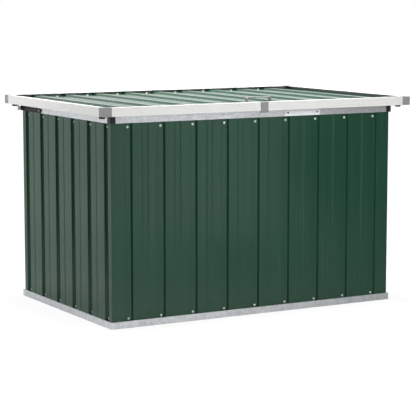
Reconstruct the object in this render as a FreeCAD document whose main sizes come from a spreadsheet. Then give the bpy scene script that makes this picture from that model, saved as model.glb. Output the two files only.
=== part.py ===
"""Garden storage box of corrugated steel sheet: rails, walls, a hinged lid and two gas struts.

The frame has X to the right, Y to the rear and Z up, with the origin under the middle of the lid,
on the ground that the base rails stand on.
"""
import FreeCAD, Part
import math
import os
from enum import IntEnum

import Sketcher

# Driving dimensions, in millimetres and degrees
DIMENSIONS = {
    # lid frame: a box profile with a lip over the sheet's edge
    "lid_side_overhang": 58.5,
    "lid_front_overhang": 59.0,
    "lid_rear_overhang": 40.0,
    "lid_gap": 3.2,
    "lid_frame_height": 36.5,
    "lid_frame_width": 38.5,
    "lid_frame_ledge_height": 24.0,
    "lid_frame_lip_width": 24.0,
    "lid_frame_thickness": 1.4,
    "lid_joint_width": 38.0,
    "lid_joint_drop_height": 7.5,
    "lid_joint_lip_thickness": 5.0,
    "plug_length": 45.0,
    "plug_clearance": 0.2,
    "lid_sheet_gap": 1.0,
    # body frame: rails round the feet and the tops of the wall sheets
    "body_width": 1373.0,
    "body_depth": 891.0,
    "body_height": 863.5,
    "rail_height": 28.5,
    "rail_flange_height": 50.0,
    "rail_thickness": 1.0,
    "rail_lip_gap": 0.1,
    "corner_leg_length": 25.0,
    "corner_tongue_length": 20.0,
    "corner_clearance": 0.2,
    "angle_leg_length": 40.0,
    "angle_screw_gap": 5.4,
    "angle_thickness": 1.5,
    "splice_length": 176.0,
    "splice_margin": 1.0,
    "splice_thickness": 1.0,
    "splice_screw_spacing": 146.5,
    # corrugated sheet: narrow grooves, and a shallow bead along each flat
    "sheet_inset": 7.0,
    "sheet_thickness": 0.5,
    "long_end_flat": 86.0,
    "short_end_flat": 54.0,
    "sheet_lap_width": 20.0,
    "sheet_fold_width": 25.0,
    "groove_depth": 10.0,
    "groove_width": 35.0,
    "groove_angle": 65.0,
    "bead_depth": 1.6,
    "bead_width": 30.0,
    "bead_angle": 40.0,
    # sheet screws with a washer head
    "screw_washer_diameter": 10.0,
    "screw_washer_height": 1.2,
    "screw_head_diameter": 7.2,
    "screw_head_height": 2.6,
    "screw_slot_width": 1.2,
    "screw_slot_depth": 1.4,
    "screw_shank_diameter": 4.2,
    "screw_length": 10.0,
    "screw_hole_clearance": 0.4,
    "bottom_screw_gap": 7.0,
    "top_screw_gap": 17.0,
    # small screws of the splice plates and the hinge bars
    "small_head_diameter": 7.5,
    "small_head_height": 2.2,
    "small_slot_width": 1.0,
    "small_slot_depth": 1.2,
    "small_shank_diameter": 3.5,
    "small_length": 5.0,
    "small_hole_clearance": 0.4,
    # rails under the lid sheets
    "lid_rail_width": 36.0,
    "lid_rail_inset": 77.0,
    "lid_rail_thickness": 1.0,
    "lid_rest_gap": 0.3,
    "lid_rail_end_gap": 0.3,
    # pull handle of flat section
    "handle_span": 116.0,
    "handle_width": 20.0,
    "handle_thickness": 4.0,
    "handle_bend_radius": 5.0,
    "handle_toe_length": 20.0,
    "handle_rise": 31.3,
    "handle_inset": 51.0,
    "handle_stud_diameter": 5.0,
    "handle_stud_length": 7.0,
    "handle_hole_clearance": 0.4,
    # caps under the lid corners
    "cap_diameter": 26.0,
    "cap_height": 10.5,
    "cap_rim_width": 2.5,
    "cap_shank_diameter": 8.0,
    "cap_hole_clearance": 0.4,
    "cap_side_inset": 23.0,
    "cap_end_inset": 57.0,
    # hinge
    "hinge_drop": 17.8,
    "hinge_bar_length": 225.0,
    "hinge_bar_width": 20.0,
    "hinge_bar_thickness": 4.0,
    "hinge_bar_recess_depth": 1.0,
    "hinge_bar_rim_width": 2.0,
    "hinge_bar_screw": 19.0,
    "hinge_pin_diameter": 8.0,
    "hinge_pin_clearance": 0.1,
    "hinge_side_gap": 1.0,
    "hinge_ear_top_gap": 2.0,
    "hinge_ear_thickness": 4.0,
    "hinge_boss_diameter": 15.0,
    # gas struts: their ends are placed from the hinge, and the upper one from the lid sheet
    "strut_inset": 41.0,
    "strut_foot_forward": 75.0,
    "strut_foot_drop": 45.0,
    "strut_head_forward": 330.0,
    "strut_head_drop": 17.0,
    "strut_tube_diameter": 18.0,
    "strut_bore_diameter": 14.0,
    "strut_rod_show": 30.2,
    "strut_end_thickness": 8.0,
    "strut_rod_diameter": 8.0,
    "strut_rod_clearance": 0.2,
    "strut_rod_in_tube": 135.0,
    "strut_piston_diameter": 13.6,
    "strut_piston_length": 8.0,
    "strut_eye_diameter": 20.0,
    "strut_eye_width": 10.0,
    "strut_neck_diameter": 8.0,
    "strut_stud_diameter": 8.0,
    "strut_stud_clearance": 0.1,
    "strut_stud_end": 2.0,
    "strut_pin_gap": 0.3,
    "strut_plate_width": 32.0,
    "strut_plate_above": 58.0,
    "strut_plate_below": 12.0,
    "strut_plate_thickness": 2.5,
    "strut_tab_gap": 7.0,
    "strut_tab_thickness": 3.0,
    "strut_tab_width": 28.0,
    "strut_tab_below": 10.0,
    "strut_tab_flange_height": 20.0,
}

GROOVES_PER_SHEET = 3

# Each side: the way along it and the way inward, both in X and Y, and its turn about Z
SIDES = {
    "front": ((1, 0), (0, 1), 0),
    "right": ((0, 1), (-1, 0), 90),
    "rear": ((-1, 0), (0, -1), 180),
    "left": ((0, -1), (1, 0), -90),
}
LONG_SIDES = ("front", "rear")

# The wall sheets of each side, in the order in which they come along it
WALL_SHEETS = {
    "front": ("left", "middle", "right"),
    "right": ("front", "rear"),
    "rear": ("right", "middle", "left"),
    "left": ("rear", "front"),
}
HANDS = {"left": -1, "right": 1}
CORNERS = {
    "front_left": (-1, -1, 0),
    "front_right": (1, -1, 90),
    "rear_right": (1, 1, 180),
    "rear_left": (-1, 1, -90),
}

# Length of a cross slot's arm pair, as a share of the screw head's radius
SLOT_REACH = 1.2

# Points closer than this are the same point, in millimetres
SAME_PLACE = 0.001

UP = FreeCAD.Vector(0, 0, 1)

# A rail's section lies in its own XY plane: this turn stands it up across Y, with its length along X
RAIL_TURN = FreeCAD.Rotation(FreeCAD.Vector(1, 1, 1), 120)
UPSIDE_DOWN = FreeCAD.Rotation(FreeCAD.Vector(0, 1, 0), 180)


class SketchPoint(IntEnum):
    """How a sketch numbers the points of a line or a circle."""

    START = 1
    END = 2
    CENTRE = 3


class Size:
    """A dimension: its value now, and the formula that ties it to the sheet of sizes."""

    def __init__(self, value, formula):
        self.value = float(value)
        self.formula = formula

    def __add__(self, other):
        other = as_size(other)
        return Size(self.value + other.value, f"({self.formula} + {other.formula})")

    def __sub__(self, other):
        other = as_size(other)
        return Size(self.value - other.value, f"({self.formula} - {other.formula})")

    def __mul__(self, other):
        other = as_size(other)
        return Size(self.value * other.value, f"({self.formula} * {other.formula})")

    def __truediv__(self, other):
        other = as_size(other)
        return Size(self.value / other.value, f"({self.formula} / {other.formula})")

    def __neg__(self):
        return self * -1

    __radd__ = __add__
    __rmul__ = __mul__


def as_size(thing):
    """A plain number as a Size."""
    if isinstance(thing, Size):
        return thing
    return Size(thing, f"({float(thing)!r})")


def tangent(angle):
    return Size(math.tan(math.radians(angle.value)), f"tan({angle.formula})")


def root(square):
    return Size(math.sqrt(square.value), f"sqrt({square.formula})")


document = FreeCAD.newDocument("garden_storage_box")
sheet = document.addObject("Spreadsheet::Sheet", "Sizes")
for row, (alias, number) in enumerate(DIMENSIONS.items(), start=1):
    sheet.set(f"A{row}", alias)
    sheet.set(f"B{row}", repr(number))
    sheet.setAlias(f"B{row}", alias)
document.recompute()
SIZE = {alias: Size(sheet.get(alias), f"Sizes.{alias}") for alias in DIMENSIONS}
ZERO = as_size(0)
NODES = {}

# Sizes that follow from the driving ones
SIZE["lid_width"] = SIZE["body_width"] + SIZE["lid_side_overhang"] * 2
SIZE["lid_depth"] = SIZE["body_depth"] + SIZE["lid_front_overhang"] + SIZE["lid_rear_overhang"]
SIZE["body_setback"] = (SIZE["lid_front_overhang"] - SIZE["lid_rear_overhang"]) / 2
SIZE["lid_underside"] = SIZE["body_height"] + SIZE["lid_gap"]
SIZE["lid_sheet_level"] = SIZE["lid_underside"] + SIZE["lid_frame_ledge_height"]
SIZE["handle_foot"] = SIZE["lid_sheet_level"] + SIZE["sheet_thickness"]
SIZE["hinge_height"] = SIZE["body_height"] - SIZE["hinge_drop"]
SIZE["hinge_ear_rise"] = SIZE["lid_sheet_level"] - SIZE["hinge_height"] - SIZE["hinge_ear_top_gap"]
SIZE["strut_plane"] = SIZE["body_width"] / 2 - SIZE["strut_inset"]
SIZE["strut_head_rise"] = SIZE["lid_sheet_level"] - SIZE["hinge_height"] - SIZE["strut_head_drop"]
SIZE["screw_hole"] = SIZE["screw_shank_diameter"] + SIZE["screw_hole_clearance"]
SIZE["small_hole"] = SIZE["small_shank_diameter"] + SIZE["small_hole_clearance"]
SIZE["handle_hole"] = SIZE["handle_stud_diameter"] + SIZE["handle_hole_clearance"]
SIZE["cap_hole"] = SIZE["cap_shank_diameter"] + SIZE["cap_hole_clearance"]


# Sketches and features

def tie(target, path, size):
    """Bind one property of an object to the sheet of sizes."""
    target.setExpression(path, size.formula)


def tie_all(sketch, constraints):
    """Add sketch constraints, each given with its Size, and bind them."""
    numbers = sketch.addConstraint([Sketcher.Constraint(*parts, size.value) for parts, size in constraints])
    for number, (parts, size) in zip(numbers, constraints):
        tie(sketch, f"Constraints[{number}]", size)


def draw_polygon(sketch, points):
    """A closed outline through points given as pairs of Size."""
    first = sketch.GeometryCount
    count = len(points)
    corners = [FreeCAD.Vector(x.value, y.value, 0) for x, y in points]
    sketch.addGeometry([Part.LineSegment(corners[i], corners[(i + 1) % count]) for i in range(count)])
    sketch.addConstraint([
        Sketcher.Constraint("Coincident", first + i, SketchPoint.END, first + (i + 1) % count, SketchPoint.START)
        for i in range(count)
    ])
    constraints = []
    for i, (x, y) in enumerate(points):
        constraints.append((("DistanceX", -1, 1, first + i, SketchPoint.START), x))
        constraints.append((("DistanceY", -1, 1, first + i, SketchPoint.START), y))
    tie_all(sketch, constraints)


def draw_circle(sketch, x, y, diameter):
    number = sketch.addGeometry(Part.Circle(FreeCAD.Vector(x.value, y.value, 0), UP, diameter.value / 2))
    tie_all(sketch, [
        (("DistanceX", -1, 1, number, SketchPoint.CENTRE), x),
        (("DistanceY", -1, 1, number, SketchPoint.CENTRE), y),
        (("Diameter", number), diameter),
    ])


def new_sketch(body, plane, outlines, circles, offset):
    """A sketch on one of the body's own planes, moved along the plane's normal by offset."""
    sketch = body.newObject("Sketcher::SketchObject", f"{body.Label}_sketch")
    support = next(item for item in body.Origin.OriginFeatures if item.Role == f"{plane}_Plane")
    sketch.AttachmentSupport = [(support, "")]
    sketch.MapMode = "FlatFace"
    for points in outlines:
        draw_polygon(sketch, points)
    for circle in circles:
        draw_circle(sketch, *circle)
    tie(sketch, "AttachmentOffset.Base.z", as_size(offset))
    return sketch


def add_feature(kind, body, length, plane, outlines, circles, offset, symmetric):
    feature = body.newObject(f"PartDesign::{kind}", f"{body.Label}_{kind.lower()}")
    feature.Profile = new_sketch(body, plane, outlines, circles, offset)
    feature.Length = length.value
    tie(feature, "Length", length)
    if symmetric:
        feature.SideType = "Symmetric"
    return feature


def pad(body, length, outlines=(), circles=(), plane="XY", offset=0, symmetric=False):
    return add_feature("Pad", body, length, plane, outlines, circles, offset, symmetric)


def pocket(body, length, outlines=(), circles=(), plane="XY", offset=0):
    """A cut that reaches half of length to each side of its sketch."""
    return add_feature("Pocket", body, length, plane, outlines, circles, offset, True)


def revolve(body, points):
    """A solid of revolution about the body's Z axis, from points given as radius and height."""
    feature = body.newObject("PartDesign::Revolution", f"{body.Label}_turned")
    feature.Profile = new_sketch(body, "XZ", [points], [], 0)
    feature.ReferenceAxis = (feature.Profile[0], ["V_Axis"])
    feature.Angle = 360


def new_body(name, node=True):
    body = document.addObject("PartDesign::Body", name)
    body.Label = name
    if node:
        NODES[name] = body
    return body


def place(target, position, rotation):
    """Put an object at a position of three Sizes, turned by a rotation."""
    values = [as_size(part).value for part in position]
    target.Placement = FreeCAD.Placement(FreeCAD.Vector(*values), rotation)
    for axis, part in zip("xyz", position):
        tie(target, f"Placement.Base.{axis}", as_size(part))


def new_group(name, members):
    """One node that holds several like solids."""
    group = document.addObject("Part::Compound", name)
    group.Label = name
    group.Links = members
    NODES[name] = group


def new_shape(name, shape):
    """A node whose shape is made directly: a set of equal screws, or a bent bar."""
    feature = document.addObject("Part::Feature", name)
    feature.Label = name
    feature.Shape = shape
    feature.Placement = FreeCAD.Placement()
    NODES[name] = feature


# Outlines

def rectangle(x0, y0, x1, y1):
    x0, y0, x1, y1 = (as_size(part) for part in (x0, y0, x1, y1))
    return [(x0, y0), (x1, y0), (x1, y1), (x0, y1)]


def angle_outline(leg, wall, start=ZERO):
    """An L with its corner at start, start and two equal legs."""
    far = start + leg
    inner = start + wall
    return [(start, start), (far, start), (far, inner), (inner, inner), (inner, far), (start, far)]


def rail_outline():
    """A body rail: outer face with a lip towards the sheet, a web, and a flange behind the sheet."""
    metal = SIZE["rail_thickness"]
    inside = flange_inset()
    lip = sheet_cover()
    rise = SIZE["rail_height"]
    flange = SIZE["rail_flange_height"]
    return [
        (ZERO, ZERO), (inside + metal, ZERO), (inside + metal, flange), (inside, flange), (inside, metal),
        (metal, metal), (metal, rise - metal), (lip, rise - metal), (lip, rise), (ZERO, rise),
    ]


def lid_outline():
    """The lid frame's outer outline: a box, an upstand and the lip over the sheet."""
    wall = SIZE["lid_frame_thickness"]
    width = SIZE["lid_frame_width"]
    ledge = SIZE["lid_frame_ledge_height"]
    rise = SIZE["lid_frame_height"]
    lip = SIZE["lid_frame_lip_width"]
    return [
        (ZERO, ZERO), (width, ZERO), (width, ledge), (wall, ledge),
        (wall, rise - wall), (lip, rise - wall), (lip, rise), (ZERO, rise),
    ]


def lid_cavity(fit=ZERO):
    """The hollow of the lid frame's box, or with a fit the plug that goes into it."""
    wall = SIZE["lid_frame_thickness"] + fit
    return rectangle(wall, wall, SIZE["lid_frame_width"] - wall, SIZE["lid_frame_ledge_height"] - wall)


# Places

def sheet_cover():
    """How far a body rail's lip or a corner block reaches in from the rail's outer face."""
    return SIZE["sheet_inset"] - SIZE["rail_lip_gap"]


def flange_inset():
    """The outer face of a rail's inner flange, where the groove floors lie."""
    return SIZE["sheet_inset"] + SIZE["groove_depth"] + SIZE["sheet_thickness"]


def along_axis(pairs):
    """The sum of Sizes times whole factors, leaving out what has no part in it."""
    total = ZERO
    for factor, size in pairs:
        if factor:
            total = total + size * factor
    return total


def side_place(side, along, inward, height, width, depth, setback):
    """A point on a side of a rectangle: along it, inward from its face, and up."""
    (along_x, along_y), (inward_x, inward_y), _ = SIDES[side]
    reach = (depth if side in LONG_SIDES else width) / 2
    x = along_axis([(along_x, as_size(along)), (inward_x, inward - reach)])
    y = along_axis([(along_y, as_size(along)), (inward_y, inward - reach)])
    return (x, y + setback, height)


def body_place(side, along, inward, height):
    return side_place(side, along, as_size(inward), as_size(height),
                      SIZE["body_width"], SIZE["body_depth"], SIZE["body_setback"])


def lid_place(side, along, inward, height):
    return side_place(side, along, as_size(inward), as_size(height),
                      SIZE["lid_width"], SIZE["lid_depth"], ZERO)


def side_turn(side):
    return FreeCAD.Rotation(UP, SIDES[side][2])


def groove_count(side):
    return GROOVES_PER_SHEET * len(WALL_SHEETS[side])


def groove_pitch(side):
    """Groove spacing: the side's length between its two end flats, shared out."""
    if side in LONG_SIDES:
        span = SIZE["body_width"] - SIZE["long_end_flat"] * 2
    else:
        span = SIZE["body_depth"] - SIZE["short_end_flat"] * 2
    return span / (groove_count(side) - 1)


def groove_places(side):
    """Groove centres along a side, from its middle."""
    count = groove_count(side)
    return [groove_pitch(side) * (i - (count - 1) / 2) for i in range(count)]


def hinge_axis_y():
    """The hinge lies half a bar's width in front of the body's rear face."""
    return SIZE["body_setback"] + SIZE["body_depth"] / 2 - SIZE["hinge_bar_width"] / 2


def place_at_hinge(body, hand):
    """Put a body in the hinge's frame: its X to the rear on the right hand, Y up, Z outward."""
    turn = FreeCAD.Rotation(UP, 0 if hand > 0 else 180)
    place(body, (ZERO, hinge_axis_y(), SIZE["hinge_height"]), turn * RAIL_TURN)


# Corrugated sheet

def bend(x, depth, shift):
    """A bend of the sheet: its place on the outer face, and the same bend on the inner face."""
    return (x, depth, x + shift, depth + SIZE["sheet_thickness"])


def channel(centre, width, depth, angle):
    """The four bends of a groove or a bead."""
    run = depth / tangent(angle)
    shift = SIZE["sheet_thickness"] * tangent(angle / 2)
    half = width / 2
    return [
        bend(centre - half, ZERO, -shift),
        bend(centre - half + run, depth, -shift),
        bend(centre + half - run, depth, shift),
        bend(centre + half, ZERO, shift),
    ]


def sheet_bends(number, side, reach, folded):
    """The bends of one sheet of a row: its ends, its grooves and the beads between them."""
    metal = SIZE["sheet_thickness"]
    pitch = groove_pitch(side)
    half_lap = SIZE["sheet_lap_width"] / 2
    bead = (SIZE["bead_width"], SIZE["bead_depth"], SIZE["bead_angle"])
    deep_bead = (SIZE["bead_width"], SIZE["bead_depth"] + metal, SIZE["bead_angle"])
    groove = (SIZE["groove_width"], SIZE["groove_depth"], SIZE["groove_angle"])
    first = GROOVES_PER_SHEET * number
    grooves = groove_places(side)[first:first + GROOVES_PER_SHEET]

    bends = []
    if number > 0:
        edge = grooves[0] - pitch / 2
        bends.append(bend(edge - half_lap, SIZE["bead_depth"], ZERO))
        bends += channel(edge, *bead)[2:]
    elif folded:
        fold = SIZE["sheet_fold_width"]
        bends.append((-reach, fold, metal - reach, fold))
        bends.append((-reach, ZERO, metal - reach, metal))
    else:
        bends.append(bend(-reach, ZERO, ZERO))
    for place_in_row, centre in enumerate(grooves):
        if place_in_row > 0:
            bends += channel(centre - pitch / 2, *bead)
        bends += channel(centre, *groove)
    if number < len(WALL_SHEETS[side]) - 1:
        edge = grooves[-1] + pitch / 2
        bends += channel(edge, *deep_bead)[:2]
        bends.append(bend(edge + half_lap, SIZE["bead_depth"] + metal, ZERO))
    elif folded:
        fold = SIZE["sheet_fold_width"]
        bends.append((reach, ZERO, reach - metal, metal))
        bends.append((reach, fold, reach - metal, fold))
    else:
        bends.append(bend(reach, ZERO, ZERO))
    return bends


def make_sheet(name, number, side, reach, length, folded):
    """One corrugated sheet: its section lies in its own XY plane, and its length along Z."""
    bends = sheet_bends(number, side, reach, folded)
    outer = [(x, y) for x, y, _, _ in bends]
    inner = [(x, y) for _, _, x, y in bends]
    body = new_body(name)
    pad(body, length, [outer + inner[::-1]])
    return body


def bottom_screw_level():
    return SIZE["rail_height"] + SIZE["bottom_screw_gap"]


def top_screw_level():
    return SIZE["body_height"] - SIZE["rail_height"] - SIZE["top_screw_gap"]


def make_walls():
    """Wall sheets, standing on the base rails and reaching up under the upper rails."""
    metal = SIZE["rail_thickness"]
    for side, names in WALL_SHEETS.items():
        folded = side in LONG_SIDES
        span = SIZE["body_width"] if folded else SIZE["body_depth"]
        reach = span / 2 - SIZE["sheet_inset"]
        if folded:
            reach = reach - SIZE["sheet_thickness"]
        for number, name in enumerate(names):
            height = SIZE["body_height"] - metal * 2
            body = make_sheet(f"wall_{side}_{name}", number, side, reach, height, folded)
            first = GROOVES_PER_SHEET * number
            grooves = groove_places(side)[first:first + GROOVES_PER_SHEET]
            holes = [
                (centre, level - metal, SIZE["screw_hole"])
                for centre in grooves for level in (bottom_screw_level(), top_screw_level())
            ]
            pocket(body, SIZE["groove_depth"] * 4, circles=holes, plane="XZ")
            place(body, body_place(side, ZERO, SIZE["sheet_inset"], metal), side_turn(side))


# Body frame

def flange_holes(body, centres, level):
    """Screw holes through a rail's inner flange."""
    holes = [(level, centre, SIZE["screw_hole"]) for centre in centres]
    pocket(body, flange_inset() * 4, circles=holes, plane="YZ")


def make_base_rails():
    """Four base rails, mitred at the corners."""
    width = flange_inset() + SIZE["rail_thickness"]
    margin = SIZE["rail_thickness"]
    for side in SIDES:
        length = SIZE["body_width"] if side in LONG_SIDES else SIZE["body_depth"]
        body = new_body(f"base_rail_{side}")
        pad(body, length, [rail_outline()], symmetric=True)
        mitres = []
        for end in (1, -1):
            mitres.append([
                (-margin, (length / 2 + margin) * end),
                (width + margin, (length / 2 - width - margin) * end),
                (width + margin, (length / 2 + margin) * end),
            ])
        pocket(body, SIZE["rail_flange_height"] * 4, mitres, plane="XZ")
        flange_holes(body, groove_places(side), bottom_screw_level())
        place(body, body_place(side, ZERO, ZERO, ZERO), side_turn(side) * RAIL_TURN)


def make_upper_rail(name, side, start, end, small_holes):
    """One length of upper rail, upside down, with small holes through its outer face."""
    body = new_body(name)
    middle = (start + end) / 2
    pad(body, end - start, [rail_outline()], symmetric=True)
    drop = SIZE["body_height"] - top_screw_level()
    grooves = [c for c in groove_places(side) if start.value < c.value < end.value]
    flange_holes(body, [middle - centre for centre in grooves], drop)
    holes = [(SIZE["body_height"] - level, middle - along, SIZE["small_hole"]) for along, level in small_holes]
    pocket(body, SIZE["rail_thickness"] * 4, circles=holes, plane="YZ")
    place(body, body_place(side, middle, ZERO, SIZE["body_height"]), side_turn(side) * UPSIDE_DOWN * RAIL_TURN)


def rail_joint():
    """Where the long and the short length of an upper rail meet: the lap of two sheets."""
    return groove_pitch("front") * (GROOVES_PER_SHEET / 2)


def splice_screw_level():
    return SIZE["body_height"] - SIZE["rail_height"] / 2


def hinge_screw_reach():
    """How far in front of the hinge axis a hinge bar's screw is."""
    return SIZE["hinge_bar_length"] - SIZE["hinge_bar_width"] / 2 - SIZE["hinge_bar_screw"]


def make_upper_rails():
    """Upper rails between the corner blocks: two lengths on a long side, one on a short side."""
    half_spacing = SIZE["splice_screw_spacing"] / 2
    for side in LONG_SIDES:
        reach = SIZE["body_width"] / 2 - SIZE["corner_leg_length"]
        joint = rail_joint()
        level = splice_screw_level()
        make_upper_rail(f"upper_rail_{side}_long", side, -reach, joint, [(joint - half_spacing, level)])
        make_upper_rail(f"upper_rail_{side}_short", side, joint, reach, [(joint + half_spacing, level)])
    for side, hand in HANDS.items():
        reach = SIZE["body_depth"] / 2 - SIZE["corner_leg_length"]
        along = (hinge_axis_y() - hinge_screw_reach() - SIZE["body_setback"]) * hand
        make_upper_rail(f"upper_rail_{side}", side, -reach, reach, [(along, SIZE["hinge_height"])])


def make_splices():
    """Splice plates over the joints of the long upper rails."""
    margin = SIZE["splice_margin"]
    rise = SIZE["rail_height"]
    half_spacing = SIZE["splice_screw_spacing"] / 2
    members = []
    for side in LONG_SIDES:
        body = new_body(f"rail_splice_{side}", node=False)
        outline = rectangle(-SIZE["splice_thickness"], margin, ZERO, rise - margin)
        pad(body, SIZE["splice_length"], [outline], symmetric=True)
        holes = [(rise / 2, half_spacing * end, SIZE["small_hole"]) for end in (-1, 1)]
        pocket(body, SIZE["splice_thickness"] * 4, circles=holes, plane="YZ")
        position = body_place(side, rail_joint(), ZERO, SIZE["body_height"])
        place(body, position, side_turn(side) * UPSIDE_DOWN * RAIL_TURN)
        members.append(body)
    new_group("rail_splices", members)


def corner_place(corner, width, depth, setback, height):
    across, back, turn = CORNERS[corner]
    position = (width / 2 * across, depth / 2 * back + setback, height)
    return position, FreeCAD.Rotation(UP, turn)


def make_corner_blocks():
    """Plastic corners of the upper frame, each with a cover and two tongues inside the rails."""
    leg = SIZE["corner_leg_length"]
    metal = SIZE["rail_thickness"]
    fit = SIZE["corner_clearance"]
    rise = SIZE["rail_height"]
    cover = sheet_cover()
    members = []
    for corner in CORNERS:
        body = new_body(f"corner_block_{corner}", node=False)
        pad(body, rise - metal, [angle_outline(leg, cover)])
        pad(body, metal, [rectangle(ZERO, ZERO, leg, leg)], offset=rise - metal)
        near = metal + fit
        far = leg + SIZE["corner_tongue_length"]
        tongues = [rectangle(leg, near, far, cover - fit), rectangle(near, leg, cover - fit, far)]
        pad(body, rise - near * 2, tongues, offset=near)
        position, turn = corner_place(corner, SIZE["body_width"], SIZE["body_depth"], SIZE["body_setback"],
                                      SIZE["body_height"] - rise)
        place(body, position, turn)
        members.append(body)
    new_group("corner_blocks", members)


def make_base_angles():
    """Angle plates inside the base frame's corners, below the bottom row of screws."""
    height = bottom_screw_level() - SIZE["screw_shank_diameter"] / 2 - SIZE["angle_screw_gap"]
    start = flange_inset() + SIZE["rail_thickness"]
    members = []
    for corner in CORNERS:
        body = new_body(f"base_angle_{corner}", node=False)
        pad(body, height, [angle_outline(SIZE["angle_leg_length"], SIZE["angle_thickness"], start)])
        position, turn = corner_place(corner, SIZE["body_width"], SIZE["body_depth"], SIZE["body_setback"], ZERO)
        place(body, position, turn)
        members.append(body)
    new_group("base_corner_angles", members)


# Screws

def length_of(alias):
    return SIZE[alias].value


def vector_of(position):
    return FreeCAD.Vector(*(as_size(part).value for part in position))


def dome(radius, height, start):
    """A shallow dome on a short cylinder, its flat side at start along Z."""
    edge = height / 2
    points = [
        FreeCAD.Vector(0, 0, start),
        FreeCAD.Vector(radius, 0, start),
        FreeCAD.Vector(radius, 0, start + edge),
        FreeCAD.Vector(0, 0, start + height),
    ]
    middle = FreeCAD.Vector(radius * math.cos(math.pi / 4), 0, start + edge + edge * math.sin(math.pi / 4))
    edges = [
        Part.LineSegment(points[0], points[1]).toShape(),
        Part.LineSegment(points[1], points[2]).toShape(),
        Part.Arc(points[2], middle, points[3]).toShape(),
        Part.LineSegment(points[3], points[0]).toShape(),
    ]
    return Part.Face(Part.Wire(edges)).revolve(FreeCAD.Vector(), UP, 360)


def cross_head_screw(kind, head_start):
    """A domed screw with a cross slot, its shank down from the origin and its head from head_start up."""
    head_height = length_of(f"{kind}_head_height")
    slot = length_of(f"{kind}_slot_width")
    slot_depth = length_of(f"{kind}_slot_depth")
    radius = length_of(f"{kind}_head_diameter") / 2
    shank = length_of(f"{kind}_length")
    solid = dome(radius, head_height, head_start)
    start = FreeCAD.Vector(0, 0, -shank)
    solid = solid.fuse(Part.makeCylinder(length_of(f"{kind}_shank_diameter") / 2, shank + head_start, start))
    floor = head_start + head_height - slot_depth
    slot_length = radius * SLOT_REACH
    for size_x, size_y in ((slot_length, slot), (slot, slot_length)):
        corner = FreeCAD.Vector(-size_x / 2, -size_y / 2, floor)
        solid = solid.cut(Part.makeBox(size_x, size_y, slot_depth * 2, corner))
    return solid


def sheet_screw():
    """A washer-head screw, seated at the origin with its shank down."""
    washer_height = length_of("screw_washer_height")
    washer = Part.makeCylinder(length_of("screw_washer_diameter") / 2, washer_height)
    return cross_head_screw("screw", washer_height).fuse(washer).removeSplitter()


def small_screw():
    """A plain domed screw, seated at the origin with its shank down."""
    return cross_head_screw("small", 0).removeSplitter()


def copies(shape, seats):
    """Copies of a shape at seats given as a point and an outward direction."""
    solids = []
    for point, outward in seats:
        copy = shape.copy()
        copy.Placement = FreeCAD.Placement(point, FreeCAD.Rotation(UP, outward))
        solids.append(copy)
    return Part.makeCompound(solids)


def outward_of(side):
    inward_x, inward_y = SIDES[side][1]
    return FreeCAD.Vector(-inward_x, -inward_y, 0)


def make_wall_screws():
    """A screw in every groove, in a bottom and a top row."""
    seat = SIZE["sheet_inset"] + SIZE["groove_depth"]
    for row_name, level in (("bottom", bottom_screw_level()), ("top", top_screw_level())):
        seats = []
        for side in SIDES:
            for centre in groove_places(side):
                seats.append((vector_of(body_place(side, centre, seat, level)), outward_of(side)))
        new_shape(f"wall_screws_{row_name}", copies(sheet_screw(), seats))


def make_small_screws():
    """Screws of the splice plates and of the hinge bars."""
    seats = []
    for side in LONG_SIDES:
        for end in (-1, 1):
            along = rail_joint() + SIZE["splice_screw_spacing"] / 2 * end
            point = vector_of(body_place(side, along, -SIZE["splice_thickness"], splice_screw_level()))
            seats.append((point, outward_of(side)))
    new_shape("splice_screws", copies(small_screw(), seats))
    seats = []
    out = SIZE["body_width"] / 2 + SIZE["hinge_bar_thickness"] - SIZE["hinge_bar_recess_depth"]
    for side, hand in HANDS.items():
        point = (out * hand, hinge_axis_y() - hinge_screw_reach(), SIZE["hinge_height"])
        seats.append((vector_of(point), outward_of(side)))
    new_shape("hinge_bar_screws", copies(small_screw(), seats))


# Hinge

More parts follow.
